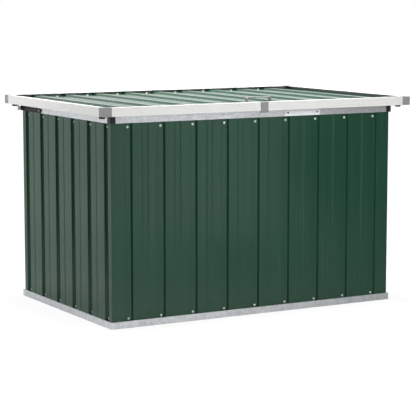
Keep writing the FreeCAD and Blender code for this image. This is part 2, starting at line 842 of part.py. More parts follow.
def make_hinges():
    """Hinge bars on the body's side rails, their pins, and the lid frame's ears with a boss round each pin."""
    width = SIZE["hinge_bar_width"]
    half = width / 2
    metal = SIZE["hinge_bar_thickness"]
    recess = SIZE["hinge_bar_recess_depth"]
    rim = SIZE["hinge_bar_rim_width"]
    out = SIZE["body_width"] / 2
    frame_face = SIZE["lid_width"] / 2 - SIZE["lid_frame_width"]
    bore = SIZE["hinge_pin_diameter"] + SIZE["hinge_pin_clearance"]
    plate = SIZE["hinge_ear_thickness"]
    ear_start = frame_face - plate
    boss = (ZERO, ZERO, SIZE["hinge_boss_diameter"])
    boss_start = out + metal + SIZE["hinge_side_gap"]
    ears = []
    pins = []
    for side, hand in HANDS.items():
        far = (width - SIZE["hinge_bar_length"]) * hand
        screw = -hinge_screw_reach() * hand
        bar = new_body(f"hinge_bar_{side}")
        pad(bar, metal, [rectangle(far, -half, ZERO, half)], offset=out)
        pad(bar, metal, circles=[(ZERO, ZERO, width), (far, ZERO, width)], offset=out)
        groove = half - rim
        pocket(bar, recess * 2, [rectangle(far, -groove, ZERO, groove)], offset=out + metal)
        pocket(bar, recess * 2, circles=[(ZERO, ZERO, groove * 2), (far, ZERO, groove * 2)], offset=out + metal)
        pocket(bar, metal * 4, circles=[(ZERO, ZERO, bore), (screw, ZERO, SIZE["small_hole"])], offset=out)
        place_at_hinge(bar, hand)

        ear = new_body(f"hinge_ear_{side}", node=False)
        pad(ear, plate, [rectangle(-half, ZERO, half, SIZE["hinge_ear_rise"])], offset=ear_start)
        pad(ear, plate, circles=[(ZERO, ZERO, width)], offset=ear_start)
        pad(ear, ear_start - boss_start, circles=[boss], offset=boss_start)
        pocket(ear, (frame_face - boss_start) * 4, circles=[(ZERO, ZERO, bore)], offset=boss_start)
        place_at_hinge(ear, hand)
        ears.append(ear)

        pin = new_body(f"hinge_pin_{side}", node=False)
        pad(pin, frame_face - out, circles=[(ZERO, ZERO, SIZE["hinge_pin_diameter"])], offset=out)
        place_at_hinge(pin, hand)
        pins.append(pin)
    new_group("hinge_ears", ears)
    new_group("hinge_pins", pins)


# Gas struts

def strut_closed():
    """Distance between the strut's two eyes with the lid shut."""
    forward = SIZE["strut_head_forward"] - SIZE["strut_foot_forward"]
    rise = SIZE["strut_head_rise"] + SIZE["strut_foot_drop"]
    return root(forward * forward + rise * rise)


def place_along_strut(body, hand):
    """Put a body at the strut's foot, its Z along the strut and its X outward."""
    foot_y = hinge_axis_y() - SIZE["strut_foot_forward"]
    foot_z = SIZE["hinge_height"] - SIZE["strut_foot_drop"]
    forward = SIZE["strut_head_forward"] - SIZE["strut_foot_forward"]
    rise = SIZE["strut_head_rise"] + SIZE["strut_foot_drop"]
    way = FreeCAD.Vector(0, -forward.value, rise.value).normalize()
    out = FreeCAD.Vector(hand, 0, 0)
    turn = FreeCAD.Rotation(out, way.cross(out), way, "ZXY")
    place(body, (SIZE["strut_plane"] * hand, foot_y, foot_z), turn)


def make_struts():
    """Gas struts: a tube on the body's bracket, and a rod that ends beside the lid's bracket."""
    eye = SIZE["strut_eye_diameter"]
    eye_width = SIZE["strut_eye_width"]
    neck = SIZE["strut_neck_diameter"] / 2
    tube = SIZE["strut_tube_diameter"] / 2
    bore = SIZE["strut_bore_diameter"] / 2
    wall = SIZE["strut_end_thickness"]
    closed = strut_closed()
    end = closed - SIZE["strut_rod_show"]
    rod = SIZE["strut_rod_diameter"] / 2
    gland = rod + SIZE["strut_rod_clearance"] / 2
    stud = SIZE["strut_stud_diameter"] + SIZE["strut_stud_clearance"]
    start = eye / 2
    ring_inside = (stud + eye) / 4
    piston_start = end - SIZE["strut_rod_in_tube"]
    piston_end = piston_start + SIZE["strut_piston_length"]
    for side, hand in HANDS.items():
        body = new_body(f"strut_tube_{side}")
        revolve(body, [
            (ZERO, ring_inside), (neck, ring_inside), (neck, start), (tube, start), (tube, end), (gland, end),
            (gland, end - wall), (bore, end - wall), (bore, start + wall), (ZERO, start + wall),
        ])
        pad(body, eye_width, circles=[(ZERO, ZERO, eye)], plane="YZ", symmetric=True)
        pocket(body, eye_width * 2, circles=[(ZERO, ZERO, stud)], plane="YZ")
        place_along_strut(body, hand)

        piston = SIZE["strut_piston_diameter"] / 2
        body = new_body(f"strut_rod_{side}")
        revolve(body, [
            (ZERO, piston_start), (piston, piston_start), (piston, piston_end), (rod, piston_end),
            (rod, closed), (ZERO, closed),
        ])
        pad(body, eye_width, circles=[(ZERO, closed, eye)], plane="YZ", symmetric=True)
        pin_end = SIZE["strut_tab_gap"] + eye_width / 2 - SIZE["strut_pin_gap"]
        pad(body, pin_end, circles=[(ZERO, closed, SIZE["strut_stud_diameter"])], plane="YZ")
        place_along_strut(body, hand)


def make_strut_brackets():
    """The struts' brackets: plates with a stud on the side rails, and tabs on the lid frame."""
    rail_face = SIZE["body_width"] / 2 - flange_inset() - SIZE["rail_thickness"]
    plate = SIZE["strut_plate_thickness"]
    half = SIZE["strut_plate_width"] / 2
    drop = SIZE["strut_foot_drop"]
    stud_end = SIZE["strut_plane"] - SIZE["strut_eye_width"] / 2 - SIZE["strut_stud_end"]
    frame_face = SIZE["lid_width"] / 2 - SIZE["lid_frame_width"]
    tab = SIZE["strut_tab_thickness"]
    tab_face = SIZE["strut_plane"] + SIZE["strut_eye_width"] / 2 + SIZE["strut_tab_gap"]
    top = SIZE["lid_sheet_level"] - SIZE["hinge_height"]
    foot = SIZE["strut_head_rise"] - SIZE["strut_tab_below"]
    flange_foot = top - SIZE["strut_tab_flange_height"]
    brackets = []
    tabs = []
    for side, hand in HANDS.items():
        along = -SIZE["strut_foot_forward"] * hand
        bracket = new_body(f"strut_bracket_{side}", node=False)
        outline = rectangle(along - half, -drop - SIZE["strut_plate_below"],
                            along + half, SIZE["strut_plate_above"] - drop)
        pad(bracket, plate, [outline], offset=rail_face - plate)
        pad(bracket, rail_face - stud_end, circles=[(along, -drop, SIZE["strut_stud_diameter"])], offset=stud_end)
        place_at_hinge(bracket, hand)
        brackets.append(bracket)

        lid_tab = new_body(f"strut_tab_{side}", node=False)
        section = [
            (flange_foot, frame_face), (top, frame_face), (top, tab_face), (foot, tab_face),
            (foot, tab_face + tab), (top - tab, tab_face + tab), (top - tab, frame_face - tab),
            (flange_foot, frame_face - tab),
        ]
        pad(lid_tab, SIZE["strut_tab_width"], [section], plane="YZ",
            offset=-SIZE["strut_head_forward"] * hand, symmetric=True)
        place_at_hinge(lid_tab, hand)
        tabs.append(lid_tab)
    new_group("strut_brackets", brackets)
    new_group("strut_tabs", tabs)


# Lid

def make_lid_frame():
    """Lengths of lid profile: two along the front and the rear, one along each side."""
    width = SIZE["lid_frame_width"]
    gap = SIZE["lid_joint_width"] / 2
    base = SIZE["lid_underside"]
    halves = {"front": ("left", "right"), "rear": ("right", "left")}
    for side, names in halves.items():
        reach = SIZE["lid_width"] / 2 - width
        for end, name in zip((-1, 1), names):
            body = new_body(f"lid_frame_{side}_{name}")
            pad(body, reach - gap, [lid_outline(), lid_cavity()], symmetric=True)
            place(body, lid_place(side, (reach + gap) / 2 * end, ZERO, base), side_turn(side) * RAIL_TURN)
    reach = SIZE["lid_depth"] / 2 - width
    cap_reach = SIZE["lid_depth"] / 2 - SIZE["cap_end_inset"]
    for side in HANDS:
        body = new_body(f"lid_frame_{side}")
        pad(body, reach * 2, [lid_outline(), lid_cavity()], symmetric=True)
        holes = [(SIZE["cap_side_inset"], cap_reach * end, SIZE["cap_hole"]) for end in (-1, 1)]
        pocket(body, SIZE["lid_frame_thickness"] * 4, circles=holes, plane="XZ")
        place(body, lid_place(side, ZERO, ZERO, base), side_turn(side) * RAIL_TURN)


def make_lid_connectors():
    """Plastic corners and middle joints of the lid frame, with plugs inside the profiles."""
    width = SIZE["lid_frame_width"]
    wall = SIZE["lid_frame_thickness"]
    ledge = SIZE["lid_frame_ledge_height"]
    rise = SIZE["lid_frame_height"]
    inner = wall + SIZE["plug_clearance"]
    far = width + SIZE["plug_length"]
    for corner in CORNERS:
        body = new_body(f"lid_corner_{corner}")
        pad(body, ledge, [rectangle(ZERO, ZERO, width, width)])
        pad(body, rise - ledge, [angle_outline(width, wall)], offset=ledge)
        pad(body, wall, [angle_outline(width, SIZE["lid_frame_lip_width"])], offset=rise - wall)
        plugs = [rectangle(width, inner, far, width - inner), rectangle(inner, width, width - inner, far)]
        pad(body, ledge - inner * 2, plugs, offset=inner)
        position, turn = corner_place(corner, SIZE["lid_width"], SIZE["lid_depth"], ZERO, SIZE["lid_underside"])
        place(body, position, turn)
    gap = SIZE["lid_joint_width"]
    for side in LONG_SIDES:
        body = new_body(f"lid_joint_{side}")
        pad(body, gap, [lid_outline()], symmetric=True)
        lip = rectangle(ZERO, -SIZE["lid_joint_drop_height"], SIZE["lid_joint_lip_thickness"], ZERO)
        pad(body, gap, [lip], symmetric=True)
        pad(body, gap + SIZE["plug_length"] * 2, [lid_cavity(SIZE["plug_clearance"])], symmetric=True)
        place(body, lid_place(side, ZERO, ZERO, SIZE["lid_underside"]), side_turn(side) * RAIL_TURN)


def lid_screw_places():
    """Middles of the lid sheets' pans: each with its place along X, and whether two sheets lap there."""
    half = groove_pitch("front") / 2
    followed = enumerate(groove_places("front")[:-1], start=1)
    return [(centre + half, number % GROOVES_PER_SHEET == 0) for number, centre in followed]


def handle_line():
    return SIZE["lid_depth"] / 2 - SIZE["handle_inset"]


def handle_stud_place():
    """How far from the middle of the handle its studs are: half way along the inturned feet."""
    return (SIZE["handle_span"] - SIZE["handle_toe_length"]) / 2


def make_lid_sheets():
    """Lid sheets: the front wall's sheets lying down, their narrow ribs up, between ledge and lip."""
    reach = SIZE["lid_width"] / 2 - SIZE["lid_frame_thickness"] - SIZE["lid_sheet_gap"]
    length = SIZE["lid_depth"] - (SIZE["lid_frame_thickness"] + SIZE["lid_sheet_gap"]) * 2
    screw_line = SIZE["lid_depth"] / 2 - SIZE["lid_rail_inset"]
    half_lap = SIZE["sheet_lap_width"] / 2
    edges = groove_pitch("front") * GROOVES_PER_SHEET
    names = WALL_SHEETS["front"]
    for number, name in enumerate(names):
        body = make_sheet(f"lid_sheet_{name}", number, "front", reach, length, False)
        middle = edges * (number - (len(names) - 1) / 2)
        holes = []
        for along, _ in lid_screw_places():
            if abs(along.value - middle.value) < edges.value / 2 + half_lap.value:
                holes += [(along, length / 2 + screw_line * end, SIZE["screw_hole"]) for end in (-1, 1)]
        if name == "middle":
            front = length / 2 + handle_line()
            holes += [(handle_stud_place() * end, front, SIZE["handle_hole"]) for end in (-1, 1)]
        pocket(body, SIZE["groove_depth"] * 4, circles=holes, plane="XZ")
        flat = FreeCAD.Rotation(FreeCAD.Vector(1, 0, 0), 90)
        place(body, (ZERO, length / 2, SIZE["lid_sheet_level"]), flat)


def make_lid_rails():
    """Tubes under the lid sheets; the front one comes down to the body's front rail."""
    near = SIZE["lid_rail_inset"] - SIZE["lid_rail_width"] / 2
    far = near + SIZE["lid_rail_width"]
    metal = SIZE["lid_rail_thickness"]
    top = SIZE["lid_frame_ledge_height"]
    frame_face = SIZE["lid_width"] / 2 - SIZE["lid_frame_width"]
    half = frame_face - SIZE["hinge_ear_thickness"] - SIZE["lid_rail_end_gap"]
    feet = {"front": SIZE["body_height"] + SIZE["lid_rest_gap"] - SIZE["lid_underside"], "rear": ZERO}
    for side, foot in feet.items():
        body = new_body(f"lid_rail_{side}")
        pad(body, half * 2, [rectangle(near, foot, far, top),
                             rectangle(near + metal, foot + metal, far - metal, top - metal)], symmetric=True)
        holes = [(SIZE["lid_rail_inset"], along, SIZE["screw_hole"]) for along, _ in lid_screw_places()]
        pocket(body, metal * 4, circles=holes, plane="XZ", offset=-top)
        place(body, lid_place(side, ZERO, ZERO, SIZE["lid_underside"]), side_turn(side) * RAIL_TURN)


def make_lid_screws():
    """Screws through the lid sheets' beads into the rails below."""
    line = SIZE["lid_depth"] / 2 - SIZE["lid_rail_inset"]
    level = SIZE["lid_sheet_level"] + SIZE["bead_depth"] + SIZE["sheet_thickness"]
    seats = []
    for along, lapped in lid_screw_places():
        seat = level + SIZE["sheet_thickness"] if lapped else level
        for end in (-1, 1):
            seats.append((vector_of((along, line * end, seat)), UP))
    new_shape("lid_screws", copies(sheet_screw(), seats))


def edges_along_y(shape, places):
    """The edges of a shape that run along Y at places given in X and Z."""
    found = []
    for edge in shape.Edges:
        for x, z in places:
            gaps = [math.hypot(vertex.X - x, vertex.Z - z) for vertex in edge.Vertexes]
            if max(gaps) < SAME_PLACE:
                found.append(edge)
    return found


def make_handle():
    """A flat U with its feet turned in, standing on the front pans with a stud under each foot."""
    thickness = length_of("handle_thickness")
    width = length_of("handle_width")
    bend_radius = length_of("handle_bend_radius")
    half = length_of("handle_span") / 2
    toe = half - length_of("handle_toe_length")
    foot = length_of("handle_foot")
    top = foot + length_of("handle_rise")
    y = -handle_line().value
    inner = half - thickness
    low = foot + thickness
    high = top - thickness
    bends = [(-half, foot), (-half, top), (half, top), (half, foot)]
    inner_bends = [(-inner, low), (-inner, high), (inner, high), (inner, low)]
    outline = [(-toe, foot), *bends, (toe, foot), (toe, low), *reversed(inner_bends), (-toe, low)]
    corners = [FreeCAD.Vector(x, y - width / 2, z) for x, z in outline]
    bar = Part.Face(Part.makePolygon(corners + corners[:1])).extrude(FreeCAD.Vector(0, width, 0))
    bar = bar.makeFillet(bend_radius, edges_along_y(bar, bends))
    bar = bar.makeFillet(bend_radius - thickness, edges_along_y(bar, inner_bends))
    stud_length = length_of("handle_stud_length")
    for end in (-1, 1):
        start = FreeCAD.Vector(handle_stud_place().value * end, y, foot - stud_length)
        bar = bar.fuse(Part.makeCylinder(length_of("handle_stud_diameter") / 2, stud_length, start))
    new_shape("lid_handle", bar.removeSplitter())


def make_caps():
    """Round caps pushed into the lid frame from below, by its corners."""
    cap = SIZE["cap_diameter"] / 2
    rim = SIZE["cap_rim_width"]
    height = SIZE["cap_height"]
    shank = SIZE["cap_shank_diameter"] / 2
    wall = SIZE["lid_frame_thickness"]
    members = []
    for corner, (across, back, _) in CORNERS.items():
        body = new_body(f"lid_cap_{corner}", node=False)
        revolve(body, [
            (ZERO, -height), (cap - rim, -height), (cap, rim - height), (cap, ZERO),
            (shank, ZERO), (shank, wall), (ZERO, wall),
        ])
        x = (SIZE["lid_width"] / 2 - SIZE["cap_side_inset"]) * across
        y = (SIZE["lid_depth"] / 2 - SIZE["cap_end_inset"]) * back
        place(body, (x, y, SIZE["lid_underside"]), FreeCAD.Rotation())
        members.append(body)
    new_group("lid_corner_caps", members)


def check_and_write():
    """Stop if any object failed, then write each node's shape."""
    document.recompute()
    for item in document.Objects:
        if "Invalid" in item.State or "Error" in item.State:
            raise RuntimeError(f"{item.Label} failed: {item.State}")
    for name, item in NODES.items():
        if item.Shape.isNull() or not item.Shape.isValid() or not item.Shape.Solids:
            raise RuntimeError(f"{name} has no valid solid")
    os.makedirs("parts", exist_ok=True)
    for name, item in NODES.items():
        item.Shape.exportStep(os.path.join("parts", f"{name}.step"))
        print(name, len(item.Shape.Solids), round(item.Shape.Volume, 1))
    print(len(NODES), "nodes")


make_base_rails()
make_base_angles()
make_walls()
make_upper_rails()
make_splices()
make_corner_blocks()
make_wall_screws()
make_small_screws()
make_hinges()
make_strut_brackets()
make_struts()
make_lid_frame()
make_lid_connectors()
make_lid_rails()
make_lid_sheets()
make_lid_screws()
make_handle()
make_caps()
check_and_write()
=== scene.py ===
"""Garden storage box: rolled sheets, the finish of every piece, and a small studio round it."""
import math

import bmesh
import bpy
from mathutils import Matrix, Vector


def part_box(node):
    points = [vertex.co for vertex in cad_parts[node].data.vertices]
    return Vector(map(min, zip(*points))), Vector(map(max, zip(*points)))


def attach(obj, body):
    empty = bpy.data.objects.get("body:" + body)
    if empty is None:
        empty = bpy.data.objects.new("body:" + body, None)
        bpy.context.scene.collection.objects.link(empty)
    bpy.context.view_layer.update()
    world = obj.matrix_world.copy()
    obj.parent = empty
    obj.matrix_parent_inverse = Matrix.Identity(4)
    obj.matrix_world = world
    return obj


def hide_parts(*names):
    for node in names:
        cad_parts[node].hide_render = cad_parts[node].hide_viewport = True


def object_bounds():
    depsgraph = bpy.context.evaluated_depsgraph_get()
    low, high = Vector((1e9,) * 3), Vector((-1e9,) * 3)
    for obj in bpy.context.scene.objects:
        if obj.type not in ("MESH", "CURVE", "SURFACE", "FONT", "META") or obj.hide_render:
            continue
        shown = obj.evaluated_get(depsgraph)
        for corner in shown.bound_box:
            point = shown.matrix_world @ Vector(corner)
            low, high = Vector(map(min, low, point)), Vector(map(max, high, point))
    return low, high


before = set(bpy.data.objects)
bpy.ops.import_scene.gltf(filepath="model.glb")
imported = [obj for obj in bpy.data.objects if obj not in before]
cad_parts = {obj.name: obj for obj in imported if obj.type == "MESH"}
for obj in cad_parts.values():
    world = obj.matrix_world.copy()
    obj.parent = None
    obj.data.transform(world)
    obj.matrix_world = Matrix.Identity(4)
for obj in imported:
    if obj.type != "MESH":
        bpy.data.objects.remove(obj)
CAD_LOW, CAD_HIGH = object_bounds()

bl_info = {
    "name": "Garden Storage Box",
    "version": (1, 0, 0),
    "blender": (4, 5, 0),
    "location": "View3D > Sidebar > Storage Box",
    "description": "Rolls the sheets of a garden storage box and gives every piece its finish",
    "category": "Object",
}

RIGHT = Vector((1, 0, 0))
REAR = Vector((0, 1, 0))
UP = Vector((0, 0, 1))

# The wall sheets of each side in the order in which they come along it, the way along and the way in
WALLS = {
    "front": (("left", "middle", "right"), RIGHT, REAR),
    "right": (("front", "rear"), REAR, -RIGHT),
    "rear": (("right", "middle", "left"), -RIGHT, -REAR),
    "left": (("rear", "front"), -REAR, RIGHT),
}
LONG_WALLS = ("front", "rear")
GROOVES_PER_SHEET = 3
# Faces that meet at less than this angle are shaded as one round surface
SMOOTH_ANGLE = math.radians(40)

# Where each lamp stands, the side of its square and the angle over which its light fans out
LAMPS = {
    "front_lamp": {"place": (0.3, -3.6, 1.7), "size": 1.8, "fan": math.pi},
    "top_lamp": {"place": (0.1, 0.1, 3.6), "size": 1.2, "fan": math.radians(60)},
    "side_lamp": {"place": (-4.2, 2.6, 1.6), "size": 2.0, "fan": math.pi},
}
# Where each card stands on the floor, its size and its turn about the upright
CARDS = {
    "light_card": {"foot": (0.85, -2.5, 0), "width": 1.0, "height": 1.6, "turn": math.radians(30)},
    "left_card": {"foot": (-1.4, -1.9, 0), "width": 1.6, "height": 1.3, "turn": math.radians(-20)},
    "right_card": {"foot": (2.8, -2.6, 0), "width": 3.2, "height": 2.4, "turn": math.radians(40)},
}
# Y of the directions at which the mirrored sky is darkest and brightest
SKY_FRONT, SKY_REAR = -0.7, 0.1
WHITE = (1.0, 1.0, 1.0, 1.0)

# Values of a noise texture that count as low and high
NOISE_LOW, NOISE_HIGH = 0.3, 0.7
# Scale of the wide waves in a coat to the scale of its grain
WAVE_TO_GRAIN = 0.07
# Power by which ground dust thins out upwards
DUST_FALL = 1.6
# How much rougher full dust makes a coat, and zinc
COAT_DULLING, ZINC_DULLING = 0.5, 0.4
# How far the borders of zinc crystals are bent, in metres, and the share of slow clouds in their tone
CRYSTAL_BEND, CLOUD_SHARE = 0.012, 0.4
# Places of the factor, the two values and the result among the sockets of a Mix node
MIX_SOCKETS = {"FLOAT": (0, 2, 3, 0), "RGBA": (0, 6, 7, 2)}


# Properties

class StorageBoxSheets(bpy.types.PropertyGroup):
    """Section of the corrugated sheets."""

    thickness: bpy.props.FloatProperty(
        name="Thickness", description="Thickness of the steel", default=0.0005, subtype="DISTANCE",
        precision=5)
    groove_depth: bpy.props.FloatProperty(
        name="Groove depth", description="Depth of a groove in a wall", default=0.010, subtype="DISTANCE")
    groove_width: bpy.props.FloatProperty(
        name="Groove width", description="Width of a groove at its mouth", default=0.035, subtype="DISTANCE")
    groove_angle: bpy.props.FloatProperty(
        name="Groove angle", description="Slope of a groove's flanks", default=math.radians(65),
        subtype="ANGLE")
    lid_rib_height: bpy.props.FloatProperty(
        name="Lid rib height", description="Height of the ribs on the lid", default=0.0065,
        subtype="DISTANCE", precision=4)
    bead_depth: bpy.props.FloatProperty(
        name="Bead depth", description="Depth of the bead along a flat", default=0.0016, subtype="DISTANCE",
        precision=4)
    bead_width: bpy.props.FloatProperty(
        name="Bead width", description="Width of the bead along a flat", default=0.030, subtype="DISTANCE")
    bead_angle: bpy.props.FloatProperty(
        name="Bead angle", description="Slope of a bead's flanks", default=math.radians(25), subtype="ANGLE")
    bend_offset: bpy.props.FloatProperty(
        name="Bend rounding", description="How far from a bend its rounding starts", default=0.0014,
        subtype="DISTANCE", precision=4)
    bend_steps: bpy.props.IntProperty(
        name="Bend steps", description="Faces across the rounding of a bend", default=3, min=1, max=8)
    lap_width: bpy.props.FloatProperty(
        name="Lap", description="Width over which two sheets lap", default=0.020, subtype="DISTANCE")
    fold_width: bpy.props.FloatProperty(
        name="Corner fold", description="Width of the fold at a corner of the box", default=0.025,
        subtype="DISTANCE")
    long_end_flat: bpy.props.FloatProperty(
        name="Long end flat", description="From a long rail's end to the first groove", default=0.086,
        subtype="DISTANCE")
    short_end_flat: bpy.props.FloatProperty(
        name="Short end flat", description="From a short rail's end to the first groove", default=0.054,
        subtype="DISTANCE")


class StorageBoxColours(bpy.types.PropertyGroup):
    """Colours of the finishes."""

    green: bpy.props.FloatVectorProperty(
        name="Green coat", description="Coat of the wall and lid sheets", default=(0.0122, 0.0555, 0.0318),
        subtype="COLOR", min=0, max=1)
    dust: bpy.props.FloatVectorProperty(
        name="Dust", description="Dry dust on the coat", default=(0.30, 0.29, 0.26), subtype="COLOR",
        min=0, max=1)
    # Painted shade: a dark, green-tinted colour laid into the hollow of the lid frame, where shade falls
    hollow_shade: bpy.props.FloatVectorProperty(
        name="Hollow shade", description="Painted shade in the hollow of the lid frame", default=(0.015, 0.050, 0.030),
        subtype="COLOR", min=0, max=1)
    white: bpy.props.FloatVectorProperty(
        name="White coat", description="Powder coat of the lid frame", default=(0.735, 0.735, 0.725),
        subtype="COLOR", min=0, max=1)
    grey: bpy.props.FloatVectorProperty(
        name="Grey plastic", description="Moulded joints of the lid frame, and the handle",
        default=(0.265, 0.265, 0.265), subtype="COLOR", min=0, max=1)
    black: bpy.props.FloatVectorProperty(
        name="Black", description="Corner blocks, caps, hinge bars, dark screws and strut tubes",
        default=(0.010, 0.010, 0.011), subtype="COLOR", min=0, max=1)
    zinc_light: bpy.props.FloatVectorProperty(
        name="Light zinc", description="Light crystals of the galvanised rails", default=(0.80, 0.82, 0.845),
        subtype="COLOR", min=0, max=1)
    zinc_dark: bpy.props.FloatVectorProperty(
        name="Dark zinc", description="Dark crystals of the galvanised rails", default=(0.68, 0.70, 0.725),
        subtype="COLOR", min=0, max=1)
    zinc_bright: bpy.props.FloatVectorProperty(
        name="Bright zinc", description="Light crystals of the splice plates", default=(0.92, 0.93, 0.95),
        subtype="COLOR", min=0, max=1)
    plated: bpy.props.FloatVectorProperty(
        name="Plating", description="Zinc plating of brackets, and bare metal at rubbed edges",
        default=(0.58, 0.585, 0.60), subtype="COLOR", min=0, max=1)
    screw: bpy.props.FloatVectorProperty(
        name="Light screws", description="Coated heads of the sheet screws", default=(0.72, 0.78, 0.74),
        subtype="COLOR", min=0, max=1)
    chrome: bpy.props.FloatVectorProperty(
        name="Chrome", description="Strut rods", default=(0.78, 0.785, 0.80), subtype="COLOR", min=0, max=1)
    floor: bpy.props.FloatVectorProperty(
        name="Floor", description="Pale floor of the studio", default=(0.60, 0.60, 0.60), subtype="COLOR",
        min=0, max=1)


class StorageBoxStudio(bpy.types.PropertyGroup):
    """Camera, floor, sky, cards and lamps."""

    camera_place: bpy.props.FloatVectorProperty(
        name="Camera place", description="Where the camera stands", default=(-3.58909, -6.30349, 1.35045),
        subtype="TRANSLATION")
    camera_yaw: bpy.props.FloatProperty(
        name="Camera turn", description="Turn of the camera to the right of the rear", default=0.51903,
        subtype="ANGLE")
    camera_pitch: bpy.props.FloatProperty(
        name="Camera tilt", description="Tilt of the camera below the horizon", default=0.12978,
        subtype="ANGLE")
    camera_lens: bpy.props.FloatProperty(
        name="Lens", description="Focal length for a sensor 36 mm wide", default=142.42, unit="CAMERA")
    floor_size: bpy.props.FloatProperty(
        name="Floor size", description="Side of the square floor", default=60.0, subtype="DISTANCE")
    floor_glow: bpy.props.FloatProperty(
        name="Floor glow", description="Plain white in the floor that the camera sees by the box",
        default=0.87, subtype="FACTOR", min=0, max=1)
    floor_near: bpy.props.FloatProperty(
        name="Floor near", description="From the middle to where the floor starts to change", default=1.2,
        subtype="DISTANCE")
    floor_far: bpy.props.FloatProperty(
        name="Floor far", description="From the middle to where the camera sees plain white", default=2.6,
        subtype="DISTANCE")
    floor_shade: bpy.props.FloatProperty(
        name="Floor shade", description="Share of the lit floor that the camera and shiny pieces see",
        default=0.35, subtype="FACTOR", min=0, max=1)
    mirror_near: bpy.props.FloatProperty(
        name="Near reflection", description="White in the floor beside the box that shiny pieces show",
        default=0.43, subtype="FACTOR", min=0, max=1)
    mirror_far: bpy.props.FloatProperty(
        name="Far reflection", description="White in the floor far from the box that shiny pieces show",
        default=0.69, subtype="FACTOR", min=0, max=1)
    mirror_reach: bpy.props.FloatProperty(
        name="Reflection reach", description="From the middle to where the far reflection is reached",
        default=6.5, subtype="DISTANCE")
    mirror_left: bpy.props.FloatProperty(
        name="Front left reflection",
        description="White in the floor before the left end that shiny pieces show",
        default=0.78, subtype="FACTOR", min=0, max=1)
    mirror_right: bpy.props.FloatProperty(
        name="Front right reflection",
        description="White in the floor before the right end that shiny pieces show",
        default=0.20, subtype="FACTOR", min=0, max=1)
    sky_light: bpy.props.FloatProperty(
        name="Sky light", description="Strength of the soft light from all round", default=0.20)
    sky_bright: bpy.props.FloatProperty(
        name="Sky reflection", description="Strength of the sky that shiny pieces show", default=0.96)
    sky_dark: bpy.props.FloatProperty(
        name="Front reflection", description="Strength of the sky that shiny pieces show to the front",
        default=0.15)
    card_tone: bpy.props.FloatProperty(
        name="Dark cards", description="Tone of the dark cards in front", default=0.25, subtype="FACTOR",
        min=0, max=1)
    white_tone: bpy.props.FloatProperty(
        name="White card", description="Tone of the white card in front", default=0.8, subtype="FACTOR",
        min=0, max=1)
    card_light: bpy.props.FloatProperty(
        name="White card light", description="Strength of the white card's own light", default=0.6)
    front_power: bpy.props.FloatProperty(
        name="Front lamp", description="Power of the lamp in front", default=78.0, unit="POWER")
    top_power: bpy.props.FloatProperty(
        name="Top lamp", description="Power of the lamp above the lid", default=34.0, unit="POWER")
    side_power: bpy.props.FloatProperty(
        name="Side lamp", description="Power of the lamp behind the left side", default=160.0, unit="POWER")


# Meshes

def start_piece():
    """Leave edit mode and select nothing, so that the next operator acts on its own piece alone."""
    if bpy.context.mode != "OBJECT":
        bpy.ops.object.mode_set(mode="OBJECT")
    bpy.ops.object.select_all(action="DESELECT")


def channel(centre, width, depth, angle):
    """The four bends of a groove or a bead, as places along the sheet and depths."""
    half = width / 2
    run = depth / math.tan(angle)
    return [
        (centre - half, 0.0), (centre - half + run, depth),
        (centre + half - run, depth), (centre + half, 0.0),
    ]


def sheet_line(sheets, number, count, pitch, reach, groove_depth, folded):
    """The bends of one sheet of a row of count sheets that reaches to both sides of its middle."""
    bead = (sheets.bead_width, sheets.bead_depth, sheets.bead_angle)
    deep_bead = (sheets.bead_width, sheets.bead_depth + sheets.thickness, sheets.bead_angle)
    groove = (sheets.groove_width, groove_depth, sheets.groove_angle)
    middle = (GROOVES_PER_SHEET * count - 1) / 2
    first = GROOVES_PER_SHEET * number
    grooves = [(first + step - middle) * pitch for step in range(GROOVES_PER_SHEET)]
    half_lap = sheets.lap_width / 2

    if number > 0:
        edge = grooves[0] - pitch / 2
        line = [(edge - half_lap, sheets.bead_depth)] + channel(edge, *bead)[2:]
    else:
        line = [(-reach, sheets.fold_width), (-reach, 0.0)] if folded else [(-reach, 0.0)]
    for step, centre in enumerate(grooves):
        if step > 0:
            line += channel(centre - pitch / 2, *bead)
        line += channel(centre, *groove)
    if number < count - 1:
        edge = grooves[-1] + pitch / 2
        line += channel(edge, *deep_bead)[:2]
        line.append((edge + half_lap, sheets.bead_depth + sheets.thickness))
    else:
        line.append((reach, 0.0))
        if folded:
            line.append((reach, sheets.fold_width))
    return line


def start_edge(name, corner, along, rise, length):
    """A new piece in edit mode that is one edge rising from a corner: a plane without its far side."""
    start_piece()
    turn = Matrix((along, rise, along.cross(rise))).transposed()
    centre = corner + (along + rise) * (length / 2)
    bpy.ops.mesh.primitive_plane_add(size=length, location=centre, rotation=turn.to_euler())
    piece = bpy.context.object
    piece.name = name
    bpy.ops.object.transform_apply(location=True, rotation=True, scale=True)
    bpy.ops.object.mode_set(mode="EDIT")
    bpy.ops.mesh.select_mode(type="VERT")
    bpy.ops.mesh.select_all(action="DESELECT")
    mesh = bmesh.from_edit_mesh(piece.data)
    for vertex in mesh.verts:
        vertex.select_set((vertex.co - corner).dot(along) > length / 2)
    mesh.select_flush_mode()
    bmesh.update_edit_mesh(piece.data)
    bpy.ops.mesh.delete(type="VERT")
    return piece


def face_outward(piece, inward):
    """Turn the faces of a sheet in edit mode away from its inner side."""
    bpy.ops.mesh.select_all(action="SELECT")
    bpy.ops.mesh.normals_make_consistent(inside=False)
    mesh = bmesh.from_edit_mesh(piece.data)
    if sum((face.normal * face.calc_area() for face in mesh.faces), Vector()).dot(inward) > 0:
        bpy.ops.mesh.flip_normals()


def round_bends(piece, sheets):
    """Round every bend of a sheet in edit mode."""
    bpy.ops.mesh.select_all(action="DESELECT")
    mesh = bmesh.from_edit_mesh(piece.data)
    for edge in mesh.edges:
        edge.select_set(len(edge.link_faces) > 1)
    bmesh.update_edit_mesh(piece.data)
    bpy.ops.mesh.bevel(
        offset=sheets.bend_offset, segments=sheets.bend_steps, affect="EDGES", clamp_overlap=True)


